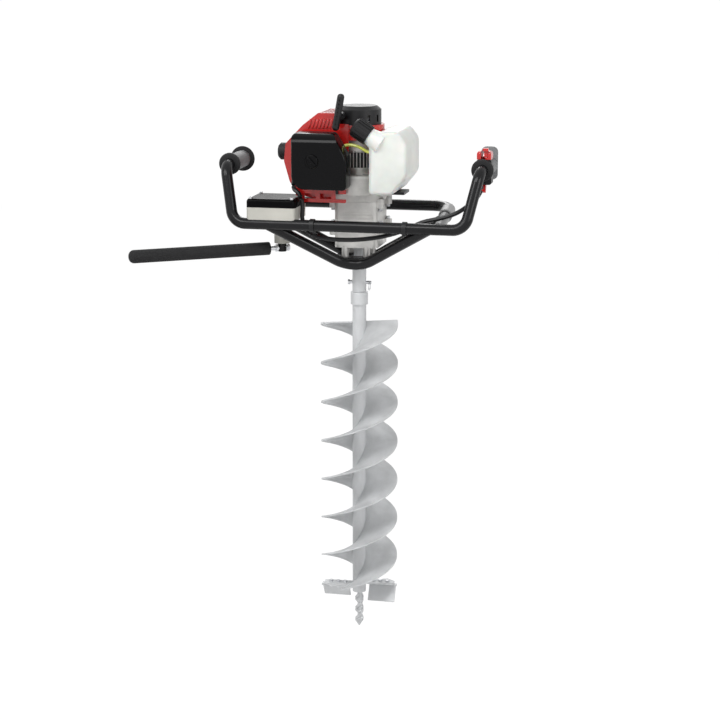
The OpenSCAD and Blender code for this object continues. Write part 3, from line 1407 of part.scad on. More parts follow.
front_handlebar();
rear_hoop();
front_v_tube();
rear_v_tube();
base_plate();
hoop_sleeves();
left_grip();
throttle_housing();
throttle_trigger();
trigger_lock();
stop_switch();
throttle_cable();
cable_clips();
m6_screws();
gearbox_lower();
gearbox_upper();
bearings_and_seal();
clutch_drum();
intermediate_gear();
output_gear();
output_shaft();
clutch_housing();
clutch_shoes();
crankcase();
crankshaft();
cylinder_block();  // cylinder
piston();
spark_plug();
plug_boot();
muffler();
flywheel();
engine_shroud();
starter_housing();
starter_pulley();
rewind_spring();
starter_handle();
carburettor();
throttle_lever();
choke_lever();
primer_bulb();
filter_base();
filter_element();
filter_cover();
filter_knob();
fuel_tank();
fuel_cap();
fuel_hose();
tank_bracket();
switch_box_base();
switch_box_lid();
pivot_shaft();
leg_bar_rod();
leg_bar_foam();
auger_tube();
flight_a();
flight_b();
shaft_pin();
cutting_blades();
blade_bolts();
pilot_tip();
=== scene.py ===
# %% [markdown]
# # A two-stroke earth auger, dressed for its picture
#
# The machine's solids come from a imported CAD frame. This lesson gives every one of them a
# procedural material, models the moulded covers, the tank and the foam sleeve anew with
# softer edges, and then sets a camera, a pale floor and four soft lamps.
# All lengths are metres, +Z is up, and the bit's tip stands at the origin.

# %% Open the frame
import math
import bpy
from mathutils import Matrix, Vector


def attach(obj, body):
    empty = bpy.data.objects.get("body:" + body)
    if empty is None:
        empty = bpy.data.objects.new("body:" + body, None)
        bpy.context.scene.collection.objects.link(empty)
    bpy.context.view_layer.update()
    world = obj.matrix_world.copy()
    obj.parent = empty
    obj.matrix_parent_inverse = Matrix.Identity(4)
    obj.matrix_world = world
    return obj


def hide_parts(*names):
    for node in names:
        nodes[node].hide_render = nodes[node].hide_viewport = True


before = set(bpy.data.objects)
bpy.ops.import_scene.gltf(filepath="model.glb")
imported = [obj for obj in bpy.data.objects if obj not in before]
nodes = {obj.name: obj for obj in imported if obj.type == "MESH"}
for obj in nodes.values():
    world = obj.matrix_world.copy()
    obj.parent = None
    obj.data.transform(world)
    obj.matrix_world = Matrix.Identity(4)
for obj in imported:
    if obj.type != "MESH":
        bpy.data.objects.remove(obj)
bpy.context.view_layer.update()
print("solids in the frame:", len(nodes))

# %% [markdown]
# ## One camera, matched to the photograph
#
# The photograph was taken with a long lens from a little above, and slightly from the right.
# The camera looks at a point on the drive axis, half way up the machine, so the
# position is written as a distance, a turn about Z and a rise.

# %% Camera
LOOK_AT = Vector((0.0, 0.0, 0.6535))
CAMERA_DISTANCE = 4.3785
CAMERA_TURN = math.radians(12.5)
CAMERA_RISE = math.radians(12.73)
offset = Vector((math.sin(CAMERA_TURN) * math.cos(CAMERA_RISE),
                 -math.cos(CAMERA_TURN) * math.cos(CAMERA_RISE),
                 math.sin(CAMERA_RISE)))
camera_data = bpy.data.cameras.new("catalogue_lens")
camera_data.sensor_width = 36.0
camera_data.lens = 94.0
camera_data.shift_x = 0.0009
camera = bpy.data.objects.new("catalogue_camera", camera_data)
camera.location = LOOK_AT + offset * CAMERA_DISTANCE
camera.rotation_euler = (LOOK_AT - camera.location).to_track_quat("-Z", "Y").to_euler()
bpy.context.scene.collection.objects.link(camera)
bpy.context.scene.camera = camera
print("camera at", [round(v, 3) for v in camera.location])

# %% [markdown]
# ## Surface effects that many materials share
#
# Each effect is one node group. It takes a colour and a roughness, and it gives back the
# same two with small changes, and a height for the bump. The coordinates are Object
# coordinates, so a scale of 900 means about 900 grains in a metre.

# %% Node group helpers
def new_effect(title):
    group = bpy.data.node_groups.new(title, "ShaderNodeTree")
    face = group.interface
    face.new_socket("Color", in_out="INPUT", socket_type="NodeSocketColor")
    face.new_socket("Roughness", in_out="INPUT", socket_type="NodeSocketFloat")
    face.new_socket("Color", in_out="OUTPUT", socket_type="NodeSocketColor")
    face.new_socket("Roughness", in_out="OUTPUT", socket_type="NodeSocketFloat")
    face.new_socket("Height", in_out="OUTPUT", socket_type="NodeSocketFloat")
    start = group.nodes.new("NodeGroupInput")
    end = group.nodes.new("NodeGroupOutput")
    place = group.nodes.new("ShaderNodeTexCoord")
    return group, start, end, place


def noise(group, place, scale, detail=4.0, stretch=(1, 1, 1)):
    spread = group.nodes.new("ShaderNodeMapping")
    spread.inputs["Scale"].default_value = stretch
    cloud = group.nodes.new("ShaderNodeTexNoise")
    cloud.inputs["Scale"].default_value = scale
    cloud.inputs["Detail"].default_value = detail
    group.links.new(place.outputs["Object"], spread.inputs["Vector"])
    group.links.new(spread.outputs["Vector"], cloud.inputs["Vector"])
    return cloud.outputs["Fac"]


def remap(group, value, low, high, start=0.3, end=0.7):
    ramp = group.nodes.new("ShaderNodeMapRange")
    ramp.inputs["From Min"].default_value = start
    ramp.inputs["From Max"].default_value = end
    ramp.inputs["To Min"].default_value = low
    ramp.inputs["To Max"].default_value = high
    group.links.new(value, ramp.inputs["Value"])
    return ramp.outputs["Result"]


def tint(group, color, factor):
    shade = group.nodes.new("ShaderNodeVectorMath")
    shade.operation = "SCALE"
    group.links.new(color, shade.inputs[0])
    group.links.new(factor, shade.inputs["Scale"])
    return shade.outputs["Vector"]


def add(group, a, b):
    total = group.nodes.new("ShaderNodeMath")
    total.operation = "ADD"
    group.links.new(a, total.inputs[0])
    group.links.new(b, total.inputs[1])
    return total.outputs["Value"]


def close_effect(group, end, color, rough, height):
    group.links.new(color, end.inputs["Color"])
    group.links.new(rough, end.inputs["Roughness"])
    group.links.new(height, end.inputs["Height"])
    return group


# %% [markdown]
# Moulded plastic has a fine even grain. Cast alloy is coarser and mottled. Brushed steel is
# a noise that is stretched along one axis. Powder coat is smooth with a slight orange peel,
# and worked paint also carries soft cloudy dirt. Foam is a field of small open cells.

# %% Six effects
def make_grain():
    g, start, end, place = new_effect("moulded_grain")
    fine = noise(g, place, 1400.0, 2.0)
    broad = noise(g, place, 14.0, 3.0)
    color = tint(g, start.outputs["Color"], remap(g, broad, 0.90, 1.10))
    rough = add(g, start.outputs["Roughness"], remap(g, broad, -0.05, 0.06))
    return close_effect(g, end, color, rough, fine)


def make_cast():
    g, start, end, place = new_effect("cast_skin")
    sand = noise(g, place, 520.0, 6.0)
    cloud = noise(g, place, 26.0, 4.0)
    color = tint(g, start.outputs["Color"], remap(g, cloud, 0.80, 1.12))
    rough = add(g, start.outputs["Roughness"], remap(g, sand, -0.10, 0.14))
    return close_effect(g, end, color, rough, sand)


def make_brushed():
    g, start, end, place = new_effect("turned_steel")
    lines = noise(g, place, 60.0, 4.0, (1, 1, 30))
    cloud = noise(g, place, 18.0, 3.0)
    color = tint(g, start.outputs["Color"], remap(g, cloud, 0.86, 1.06))
    rough = add(g, start.outputs["Roughness"], remap(g, lines, -0.08, 0.12))
    return close_effect(g, end, color, rough, lines)


def make_coat():
    g, start, end, place = new_effect("powder_coat")
    peel = noise(g, place, 330.0, 1.0)
    dust = noise(g, place, 9.0, 5.0)
    color = tint(g, start.outputs["Color"], remap(g, dust, 0.85, 1.25))
    rough = add(g, start.outputs["Roughness"], remap(g, dust, -0.04, 0.10))
    return close_effect(g, end, color, rough, peel)


def make_soil_paint():
    g, start, end, place = new_effect("rubbed_paint")
    streak = noise(g, place, 22.0, 5.0, (1, 1, 0.3))
    speck = noise(g, place, 240.0, 3.0)
    color = tint(g, start.outputs["Color"], remap(g, streak, 0.86, 1.08, 0.35, 0.65))
    rough = add(g, start.outputs["Roughness"], remap(g, speck, -0.05, 0.12))
    return close_effect(g, end, color, rough, speck)


def make_foam():
    g, start, end, place = new_effect("open_cells")
    cells = g.nodes.new("ShaderNodeTexVoronoi")
    cells.inputs["Scale"].default_value = 620.0
    g.links.new(place.outputs["Object"], cells.inputs["Vector"])
    cloud = noise(g, place, 40.0, 3.0)
    depth = cells.outputs["Distance"]
    color = tint(g, start.outputs["Color"], remap(g, depth, 1.3, 0.6, 0.0, 0.9))
    rough = add(g, start.outputs["Roughness"], remap(g, cloud, -0.04, 0.04))
    return close_effect(g, end, color, rough, depth)


GRAIN, CAST, BRUSHED = make_grain(), make_cast(), make_brushed()
COAT, RUBBED, CELLS = make_coat(), make_soil_paint(), make_foam()
print("effects:", [g.name for g in bpy.data.node_groups])

# %% [markdown]
# ## Materials
#
# A material is a Principled shader that takes its colour and roughness from one effect. The
# effect's height goes through a Bump node. Values that stay the same all over are typed
# into the shader itself.

# %% Material maker
def material(title, effect, color, rough, metal=0.0, coat=0.0, bump=0.1, depth=0.0004, **more):
    mat = bpy.data.materials.new(title)
    mat.use_nodes = True
    tree = mat.node_tree
    shader = tree.nodes["Principled BSDF"]
    skin = tree.nodes.new("ShaderNodeGroup")
    skin.node_tree = effect
    skin.inputs["Color"].default_value = (*color, 1.0)
    skin.inputs["Roughness"].default_value = rough
    relief = tree.nodes.new("ShaderNodeBump")
    relief.inputs["Strength"].default_value = bump
    relief.inputs["Distance"].default_value = depth
    tree.links.new(skin.outputs["Color"], shader.inputs["Base Color"])
    tree.links.new(skin.outputs["Roughness"], shader.inputs["Roughness"])
    tree.links.new(skin.outputs["Height"], relief.inputs["Height"])
    tree.links.new(relief.outputs["Normal"], shader.inputs["Normal"])
    shader.inputs["Metallic"].default_value = metal
    shader.inputs["Coat Weight"].default_value = coat
    shader.inputs["Coat Roughness"].default_value = 0.08
    for label, value in more.items():
        shader.inputs[label.replace("_", " ")].default_value = value
    mat.diffuse_color = (*color, 1.0)
    return mat


# %% [markdown]
# The colours below are linear values. The bit and the output parts are a pale satin grey in
# the photograph, the frame is gloss black, and the covers are red or black.

# %% The material list
FINISHES = {
    "frame_black": material("frame_black", COAT, (0.008, 0.008, 0.009), 0.20, bump=0.04,
                            Specular_IOR_Level=0.22),
    "bit_grey": material("bit_grey", RUBBED, (0.66, 0.67, 0.68), 0.46, metal=0.15),
    "blade_grey": material("blade_grey", BRUSHED, (0.60, 0.61, 0.62), 0.38, metal=0.5),
    "zinc": material("zinc", BRUSHED, (0.66, 0.67, 0.69), 0.28, metal=0.95),
    "cast_alloy": material("cast_alloy", CAST, (0.66, 0.65, 0.63), 0.42, metal=0.5, bump=0.25),
    "dark_alloy": material("dark_alloy", CAST, (0.58, 0.57, 0.55), 0.44, metal=0.5, bump=0.25),
    "gear_steel": material("gear_steel", BRUSHED, (0.30, 0.31, 0.33), 0.30, metal=0.9),
    "grip_grey": material("grip_grey", GRAIN, (0.22, 0.225, 0.23), 0.58, bump=0.2,
                          Specular_IOR_Level=0.3),
    "moulded_black": material("moulded_black", GRAIN, (0.011, 0.011, 0.012), 0.38, bump=0.15,
                              Specular_IOR_Level=0.3),
    "gloss_black": material("gloss_black", GRAIN, (0.003, 0.003, 0.0035), 0.12, bump=0.02,
                            Specular_IOR_Level=0.12),
    "lid_black": material("lid_black", GRAIN, (0.003, 0.003, 0.0035), 0.26, bump=0.02,
                          Specular_IOR_Level=0.04),
    "signal_red": material("signal_red", GRAIN, (0.56, 0.014, 0.012), 0.24, coat=0.4, bump=0.05),
    "tank_white": material("tank_white", GRAIN, (0.84, 0.86, 0.82), 0.34, bump=0.06,
                           Subsurface_Weight=0.25, Subsurface_Scale=0.01),
    "soft_black": material("soft_black", GRAIN, (0.012, 0.012, 0.013), 0.60, bump=0.25,
                           Specular_IOR_Level=0.3),
    "foam_dark": material("foam_dark", CELLS, (0.030, 0.030, 0.031), 0.88, bump=0.6, depth=0.0006,
                          Specular_IOR_Level=0.2),
    "sheath": material("sheath", GRAIN, (0.010, 0.010, 0.011), 0.34, bump=0.05,
                       Specular_IOR_Level=0.3),
    "hose_yellow": material("hose_yellow", GRAIN, (0.58, 0.62, 0.10), 0.22, coat=0.4, bump=0.03),
    "box_cream": material("box_cream", GRAIN, (0.56, 0.55, 0.50), 0.46, bump=0.15),
    "paper_foam": material("paper_foam", CELLS, (0.66, 0.60, 0.44), 0.85, bump=0.5),
    "porcelain": material("porcelain", GRAIN, (0.80, 0.80, 0.77), 0.16, coat=0.7, bump=0.02),
    "yellow_zinc": material("yellow_zinc", BRUSHED, (0.62, 0.50, 0.24), 0.32, metal=0.9),
    "sleeve_grey": material("sleeve_grey", GRAIN, (0.36, 0.36, 0.36), 0.5, bump=0.15),
    "hot_paint": material("hot_paint", CAST, (0.12, 0.12, 0.125), 0.55, metal=0.3, bump=0.3),
    "bulb_amber": material("bulb_amber", GRAIN, (0.60, 0.52, 0.30), 0.3, bump=0.05,
                           Subsurface_Weight=0.3, Subsurface_Scale=0.005),
}
print("materials:", len(FINISHES))

# %% [markdown]
# ## Which solid gets which material

# %% Dress the frame's solids
WEARS = {
    "frame_black": ["pivot_shaft", "front_handlebar", "rear_hoop", "front_v_tube",
                    "rear_v_tube", "base_plate"],
    "sleeve_grey": ["hoop_sleeves"],
    "grip_grey": ["left_grip", "throttle_housing"],
    "signal_red": ["throttle_trigger", "trigger_lock", "stop_switch", "engine_shroud"],
    "moulded_black": ["cable_clips", "starter_housing", "choke_lever", "fuel_cap",
                      "tank_bracket", "filter_base", "switch_box_lid", "starter_handle"],
    "sheath": ["throttle_cable"],
    "zinc": ["m6_screws", "shaft_pin", "blade_bolts", "leg_bar_rod", "bearings_and_seal"],
    "cast_alloy": ["gearbox_lower", "gearbox_upper", "crankcase", "cylinder", "carburettor",
                   "flywheel", "piston"],
    "dark_alloy": ["clutch_housing"],
    "soft_black": ["plug_boot"],
    "gear_steel": ["clutch_drum", "intermediate_gear", "output_gear", "clutch_shoes",
                   "crankshaft", "rewind_spring"],
    "bit_grey": ["output_shaft", "auger_tube", "flight_a", "flight_b"],
    "porcelain": ["spark_plug"],
    "hot_paint": ["muffler"],
    "box_cream": ["switch_box_base", "starter_pulley"],
    "yellow_zinc": ["throttle_lever"],
    "bulb_amber": ["primer_bulb"],
    "paper_foam": ["filter_element"],
    "gloss_black": ["filter_cover", "filter_knob"],
    "tank_white": ["fuel_tank"],
    "hose_yellow": ["fuel_hose"],
    "blade_grey": ["cutting_blades", "pilot_tip"],
    "foam_dark": ["leg_bar_foam"],
}
dressed = set()
for title, members in WEARS.items():
    for name in members:
        for place in nodes[name].material_slots:
            place.material = FINISHES[title]
        if not nodes[name].material_slots:
            nodes[name].data.materials.append(FINISHES[title])
        dressed.add(name)
print("dressed:", len(dressed), "left bare:", sorted(set(nodes) - dressed))

# %% [markdown]
# ## Tools for the new pieces
#
# A new piece starts as a cube or a cylinder, with its sizes in millimetres. Edges are picked
# by where they lie and which way they run, and then bevelled. A plane can slice a corner
# off. A second shape is taken away or welded on with the Boolean modifier, which is applied
# and leaves no cutter behind.

# %% Modelling helpers
MM = 0.001    # metres in a millimetre
NEAR = 0.01   # millimetres, for "at the same place"


def clear_selection():
    if bpy.context.object and bpy.context.object.mode != "OBJECT":
        bpy.ops.object.mode_set(mode="OBJECT")
    bpy.ops.object.select_all(action="DESELECT")


def pick(obj):
    """Select this piece alone and make it the active one."""
    clear_selection()
    obj.select_set(True)
    bpy.context.view_layer.objects.active = obj


def bake_placement():
    bpy.ops.object.transform_apply(location=True, rotation=True, scale=True)


def block(name, low, high):
    clear_selection()
    middle = [(a + b) / 2 * MM for a, b in zip(low, high)]
    bpy.ops.mesh.primitive_cube_add(size=1.0, location=middle)
    obj = bpy.context.object
    obj.name = name
    obj.scale = [(b - a) * MM for a, b in zip(low, high)]
    bake_placement()
    return obj


def rod(name, start, direction, length, radius, sides=48):
    clear_selection()
    way = Vector(direction).normalized()
    middle = (Vector(start) + way * length / 2) * MM
    bpy.ops.mesh.primitive_cylinder_add(vertices=sides, radius=radius * MM, depth=length * MM,
                                        location=middle,
                                        rotation=way.to_track_quat("Z", "Y").to_euler())
    obj = bpy.context.object
    obj.name = name
    bake_placement()
    return obj


def turn_piece(obj, degrees, axis, center):
    pick(obj)
    bpy.ops.transform.rotate(value=math.radians(degrees), orient_axis=axis,
                             center_override=[v * MM for v in center])
    bake_placement()


def slice_off(obj, point, normal):
    pick(obj)
    bpy.ops.object.mode_set(mode="EDIT")
    bpy.ops.mesh.select_all(action="SELECT")
    bpy.ops.mesh.bisect(plane_co=[v * MM for v in point], plane_no=normal, use_fill=True,
                        clear_outer=True)
    bpy.ops.object.mode_set(mode="OBJECT")


def bevel_where(obj, test, width, segments=4):
    pick(obj)
    bpy.ops.object.mode_set(mode="EDIT")
    bpy.ops.mesh.select_mode(type="EDGE")
    bpy.ops.mesh.select_all(action="DESELECT")
    bpy.ops.object.mode_set(mode="OBJECT")
    for edge in obj.data.edges:
        a, b = (obj.data.vertices[i].co / MM for i in edge.vertices)
        edge.select = bool(test(a, b))
    bpy.ops.object.mode_set(mode="EDIT")
    bpy.ops.mesh.bevel(offset=width * MM, segments=segments, profile=0.5, affect="EDGES",
                       clamp_overlap=True)
    bpy.ops.object.mode_set(mode="OBJECT")


def combine(obj, other, operation):
    pick(obj)
    step = obj.modifiers.new("combine", "BOOLEAN")
    step.operation = operation
    step.solver = "EXACT"
    step.object = other
    bpy.ops.object.modifier_apply(modifier="combine")
    bpy.data.objects.remove(other, do_unlink=True)


def cut_away(obj, cutter):
    combine(obj, cutter, "DIFFERENCE")


def weld_on(obj, extra):
    combine(obj, extra, "UNION")


def along_y(a, b):
    return abs(a.x - b.x) < NEAR and abs(a.z - b.z) < NEAR


def along_z(a, b):
    return abs(a.x - b.x) < NEAR and abs(a.y - b.y) < NEAR


def across_y(a, b):
    return abs(a.y - b.y) < NEAR


def at_level(axis, level):
    """A test for the edges that lie wholly at one level along an axis."""
    return lambda a, b: all(abs(getattr(end, axis) - level) < NEAR for end in (a, b))


def finish_piece(obj, body, replaced, finish, angle=35):
    pick(obj)
    bpy.ops.object.shade_smooth_by_angle(angle=math.radians(angle))
    obj.data.materials.clear()
    obj.data.materials.append(FINISHES[finish])
    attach(obj, body)
    if replaced:
        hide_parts(*replaced)
    print(obj.name, "has", len(obj.data.polygons), "faces")


# %% [markdown]
# ## The air filter cover
#
# The cover is a shallow box with one corner cut off at the top right. Its side edges have
# radii of their own, and the front rim is rounded. The top front edge is a wide round
# shoulder, because the photograph shows a broad band of light there. A block with a round
# bar cut out of it shapes the shoulder.

# %% Filter cover
KNOB_X, KNOB_Z, TO_BACK = -80, 1129, (0, 1, 0)
cover = block("air_filter_cover", (-128, -130, 1065), (-3, -88.2, 1191))
slice_off(cover, (-3, -100, 1139), Vector((52, 0, 31)).normalized())
for corner_x, corner_z, radius in ((-128, 1065, 30), (-128, 1191, 12), (-3, 1065, 8),
                                   (-3, 1139, 10), (-34, 1191, 10)):
    bevel_where(cover, lambda a, b: along_y(a, b) and abs(a.x - corner_x) < 1
                and abs(a.z - corner_z) < 1, radius, 6)
bevel_where(cover, at_level("y", -130), 6, 4)
cut_away(cover, block("hollow_low", (-124, -127, 1078), (-7, -80, 1132)))
shoulder = block("shoulder_cutter", (-140, -140.3, 1160.6), (10, -99.7, 1200.7))
cut_away(shoulder, rod("round_bar", (-150, -99.7, 1160.6), (1, 0, 0), 170, 30.3, 100))
cut_away(cover, shoulder)
cut_away(cover, block("hollow_high", (-118, -120, 1131), (-38, -80, 1172)))
cut_away(cover, rod("knob_well", (KNOB_X, -140, KNOB_Z), TO_BACK, 15.5, 15.7))
cut_away(cover, rod("bolt_hole", (KNOB_X, -140, KNOB_Z), TO_BACK, 40, 5))
finish_piece(cover, "frame", ["filter_cover"], "gloss_black")

# %% [markdown]
# ## The cover knob
#
# A round knob sits in the cover's well. Its face is sunk inside a raised rim, and a bar
# for the fingers crosses it at 45 degrees.

# %% Cover knob
knob = rod("cover_knob_dial", (KNOB_X, -132.7, KNOB_Z), TO_BACK, 4, 14.7, 96)
bevel_where(knob, at_level("y", -132.7), 1.4, 4)
cut_away(knob, rod("sunk_face", (KNOB_X, -140, KNOB_Z), TO_BACK, 8.6, 11, 96))
bar = block("finger_bar", (KNOB_X - 3, -135.8, KNOB_Z - 12), (KNOB_X + 3, -131, KNOB_Z + 12))
bevel_where(bar, at_level("y", -135.8), 1.6, 4)
turn_piece(bar, 45, "Y", (KNOB_X, -133.4, KNOB_Z))
weld_on(knob, bar)
weld_on(knob, rod("knob_bolt", (KNOB_X, -130, KNOB_Z), TO_BACK, 41, 4.3, 48))
finish_piece(knob, "cover_knob", ["filter_knob"], "gloss_black")

# %% [markdown]
# ## The switch box lid
#
# The lid's upright edges match the box below it, and its top rim has a wide bevel that
# catches the light. Four wells take the screws.

# %% Lid
LID_LOW, LID_HIGH = (-232, -132, 1022.9), (-119, -26, 1042.7)
lid = block("leg_switch_lid", LID_LOW, LID_HIGH)
bevel_where(lid, along_z, 8, 5)
bevel_where(lid, at_level("z", LID_HIGH[2]), 11, 4)
cut_away(lid, block("cam_room", (-216, -129, 1020), (-135, -29, 1033.7)))
for x in (-223, -128):
    for y in (-123, -35):
        cut_away(lid, rod("screw_way", (x, y, 1015), (0, 0, 1), 40, 2.7, 24))
        cut_away(lid, rod("screw_well", (x, y, 1038.7), (0, 0, 1), 10, 5.2, 24))
finish_piece(lid, "frame", ["switch_box_lid"], "lid_black")

# %% [markdown]
# ## The fuel tank
#
# A blown tank has wide soft radii. Its outline is a box with three slices off, and the side
# toward the engine is hollowed to pass the clutch housing and the fan.

# %% Tank
TANK_FRONT, TANK_BACK = -100, 60
tank = block("white_fuel_tank", (42, TANK_FRONT, 1053), (128, TANK_BACK, 1196))
slice_off(tank, (94, 0, 1053), Vector((42, 0, -34)).normalized())
slice_off(tank, (128, 0, 1170), Vector((26, 0, 20)).normalized())
slice_off(tank, (76, 0, 1196), Vector((-12, 0, 34)).normalized())
bevel_where(tank, along_y, 9, 4)
bevel_where(tank, lambda a, b: max(a.y, b.y) < TANK_FRONT + 0.1
            or min(a.y, b.y) > TANK_BACK - 0.1, 13, 5)
cut_away(tank, rod("clutch_room", (0, 0, 1040), (0, 0, 1), 57, 73, 96))
cut_away(tank, rod("fan_room", (0, 0, 1040), (0, 0, 1), 200, 59.5, 96))
NECK_AT, NECK_WAY = Vector((31, -84, 1190)), Vector((-0.84, 0, 0.54)).normalized()
clear_selection()
bpy.ops.mesh.primitive_cone_add(vertices=64, radius1=0.026, radius2=0.019, depth=0.032,
                                location=(NECK_AT - 28 * NECK_WAY) * MM,
                                rotation=NECK_WAY.to_track_quat("Z", "Y").to_euler())
bake_placement()
weld_on(tank, bpy.context.object)
weld_on(tank, rod("neck", NECK_AT - 14 * NECK_WAY, NECK_WAY, 13.9, 19, 64))
finish_piece(tank, "frame", ["fuel_tank"], "tank_white")

# %% [markdown]
# ## The foam sleeve
#
# The sleeve slides over the rod of the leg bar, so it is a thick tube. Its far end is
# closed and round, and its near end has a small bevel.

# %% Foam sleeve
PIVOT, BAR_WAY = Vector((-172, -42, 919)), Vector((-0.833, -0.553, 0)).normalized()
SLEEVE_START, SLEEVE_LONG = PIVOT + 31 * BAR_WAY, 330
sleeve = rod("leg_bar_sleeve", SLEEVE_START, BAR_WAY, SLEEVE_LONG, 15, 64)


def at_end(p, distance):
    return abs((p - SLEEVE_START).dot(BAR_WAY) - distance) < 0.05


bevel_where(sleeve, lambda a, b: at_end(a, SLEEVE_LONG) and at_end(b, SLEEVE_LONG), 12, 8)
bevel_where(sleeve, lambda a, b: at_end(a, 0) and at_end(b, 0), 2, 3)
cut_away(sleeve, rod("rod_way", SLEEVE_START - BAR_WAY * 5, BAR_WAY, 322, 5.6, 32))
finish_piece(sleeve, "leg_bar", ["leg_bar_foam"], "foam_dark")

# %% [markdown]
# ## The two flights
#
# A flight is one strip of plate that climbs round the tube. The frame's solids have 32 flat
# steps in a turn. Here a single edge from the tube to the rim is turned by the Screw
# modifier, with 96 steps in a turn, and Solidify gives the plate its thickness.

# %% Flights
FLIGHT_TOP, FLIGHT_BOTTOM, PITCH, PLATE = 747.0, 119.0, 187.0, 3.5
INNER_R, RIM_R = 16.12, 90.0
TURNS = (FLIGHT_TOP - FLIGHT_BOTTOM) / PITCH


def climb(name, start_angle):
    clear_selection()
    bpy.ops.mesh.primitive_plane_add(size=1.0, location=(0, 0, 0))
    obj = bpy.context.object
    obj.name = name
    bpy.ops.object.mode_set(mode="EDIT")
    bpy.ops.mesh.select_mode(type="EDGE")
    bpy.ops.mesh.select_all(action="SELECT")
    bpy.ops.mesh.delete(type="ONLY_FACE")
    bpy.ops.object.mode_set(mode="OBJECT")
    for edge in obj.data.edges:
        edge.select = False
    for vertex in obj.data.vertices:
        vertex.select = vertex.co.y < 0
    bpy.ops.object.mode_set(mode="EDIT")
    bpy.ops.mesh.select_mode(type="VERT")
    bpy.ops.mesh.select_all(action="INVERT")
    bpy.ops.mesh.delete(type="VERT")
    bpy.ops.object.mode_set(mode="OBJECT")
    low_angle = math.radians(start_angle) - TURNS * 2 * math.pi
    ends = sorted(obj.data.vertices, key=lambda v: v.co.x)
    for vertex, radius in zip(ends, (INNER_R, RIM_R)):
        vertex.co = Vector((radius * math.cos(low_angle), radius * math.sin(low_angle),
                            FLIGHT_BOTTOM)) * MM
    turn = obj.modifiers.new("turn", "SCREW")
    turn.angle = TURNS * 2 * math.pi
    turn.screw_offset = (FLIGHT_TOP - FLIGHT_BOTTOM) * MM
    turn.steps = turn.render_steps = int(TURNS * 96)
    turn.use_merge_vertices = False
    bpy.ops.object.modifier_apply(modifier="turn")
    plate = obj.modifiers.new("plate", "SOLIDIFY")
    plate.thickness = PLATE * MM
    plate.offset = 0
    bpy.ops.object.modifier_apply(modifier="plate")
    bpy.ops.object.mode_set(mode="EDIT")
    bpy.ops.mesh.select_all(action="SELECT")
    bpy.ops.mesh.normals_make_consistent(inside=False)
    bpy.ops.object.mode_set(mode="OBJECT")
    return obj


for name, angle, solid in (("first_flight", 22, "flight_a"), ("second_flight", 202, "flight_b")):
    strip = climb(name, angle)
    lowest = min(v.co.z for v in strip.data.vertices)
    strip.data.transform(Matrix.Translation((0, 0, (FLIGHT_BOTTOM - PLATE) * MM - lowest)))
    finish_piece(strip, "bit", [solid], "bit_grey", 40)

# %% [markdown]
# ## The left grip
#
# The grip is a grey rubber sleeve with a black ring at each end. The front ring is thick
# and the rear one is a thin wide flange. The sleeve and the rings are separate pieces here,
# because their colours differ.

# %% Left grip
GRIP_AT = Vector((-291, -58, 1110))
SLEEVE_R, RING_R, BORE_R = 19.6, 25, 13
grip = rod("left_grip_sleeve", GRIP_AT + Vector((0, 12.2, 0)), TO_BACK, 97.6, SLEEVE_R, 64)
bevel_where(grip, across_y, 1.5, 3)
cut_away(grip, rod("grip_bore", GRIP_AT, TO_BACK, 160, BORE_R, 48))
finish_piece(grip, "frame", ["left_grip"], "grip_grey")
front_ring = rod("left_grip_front_ring", GRIP_AT, TO_BACK, 12, RING_R, 64)
bevel_where(front_ring, across_y, 4, 5)
cut_away(front_ring, rod("ring_bore", GRIP_AT - Vector((0, 5, 0)), TO_BACK, 30, BORE_R, 48))
finish_piece(front_ring, "frame", ["left_grip"], "soft_black")
rear_ring = rod("left_grip_rear_ring", GRIP_AT + Vector((0, 110, 0)), TO_BACK, 4, 29, 64)
bevel_where(rear_ring, across_y, 1.6, 4)
finish_piece(rear_ring, "frame", ["left_grip"], "soft_black")

# %% [markdown]
# ## The throttle grip
#
# The right grip has the same black front ring and a grey sleeve. A black housing holds the
# trigger below and the stop button above, under a red cap. A tall grey plate closes the
# rear end. The slots and pin holes let the frame's levers swing.

# %% Throttle grip
THROTTLE_AT, BORE_START = (291, -58, 1110), (291, -65, 1110)


def pass_levers(obj):
    cut_away(obj, block("trigger_slot", (284.9, -44, 1060), (297.1, -4, 1096)))
    cut_away(obj, block("lock_slot", (285.9, -46, 1127.9), (296.1, 4, 1160)))
    cut_away(obj, block("button_well", (292.6, -54.1, 1137.9), (301.4, -35.9, 1170)))
    cut_away(obj, rod("trigger_pin_way", (260, -24, 1084), (1, 0, 0), 60, 3.1, 32))
    cut_away(obj, rod("lock_pin_way", (260, -22, 1134), (1, 0, 0), 60, 2.6, 32))


right_ring = rod("throttle_front_ring", THROTTLE_AT, TO_BACK, 12, RING_R, 64)
bevel_where(right_ring, across_y, 4, 5)
cut_away(right_ring, rod("right_ring_bore", BORE_START, TO_BACK, 30, BORE_R, 48))
finish_piece(right_ring, "frame", ["throttle_housing"], "soft_black")
right_sleeve = rod("throttle_sleeve", (291, -17.8, 1110), TO_BACK, 67.6, SLEEVE_R, 64)
cut_away(right_sleeve, rod("sleeve_bore", BORE_START, TO_BACK, 160, BORE_R, 48))
finish_piece(right_sleeve, "frame", ["throttle_housing"], "grip_grey")
throttle_body = block("throttle_body", (276, -45.8, 1077), (310, -18, 1133))
bevel_where(throttle_body, along_y, 5, 4)
cut_away(throttle_body, rod("body_bore", BORE_START, TO_BACK, 160, BORE_R, 48))
pass_levers(throttle_body)
finish_piece(throttle_body, "frame", ["throttle_housing"], "moulded_black")
red_cap = block("throttle_red_cap", (277, -45.8, 1133.2), (309, -18, 1151.5))
bevel_where(red_cap, at_level("z", 1151.5), 6, 5)
pass_levers(red_cap)
finish_piece(red_cap, "frame", ["throttle_housing"], "signal_red")
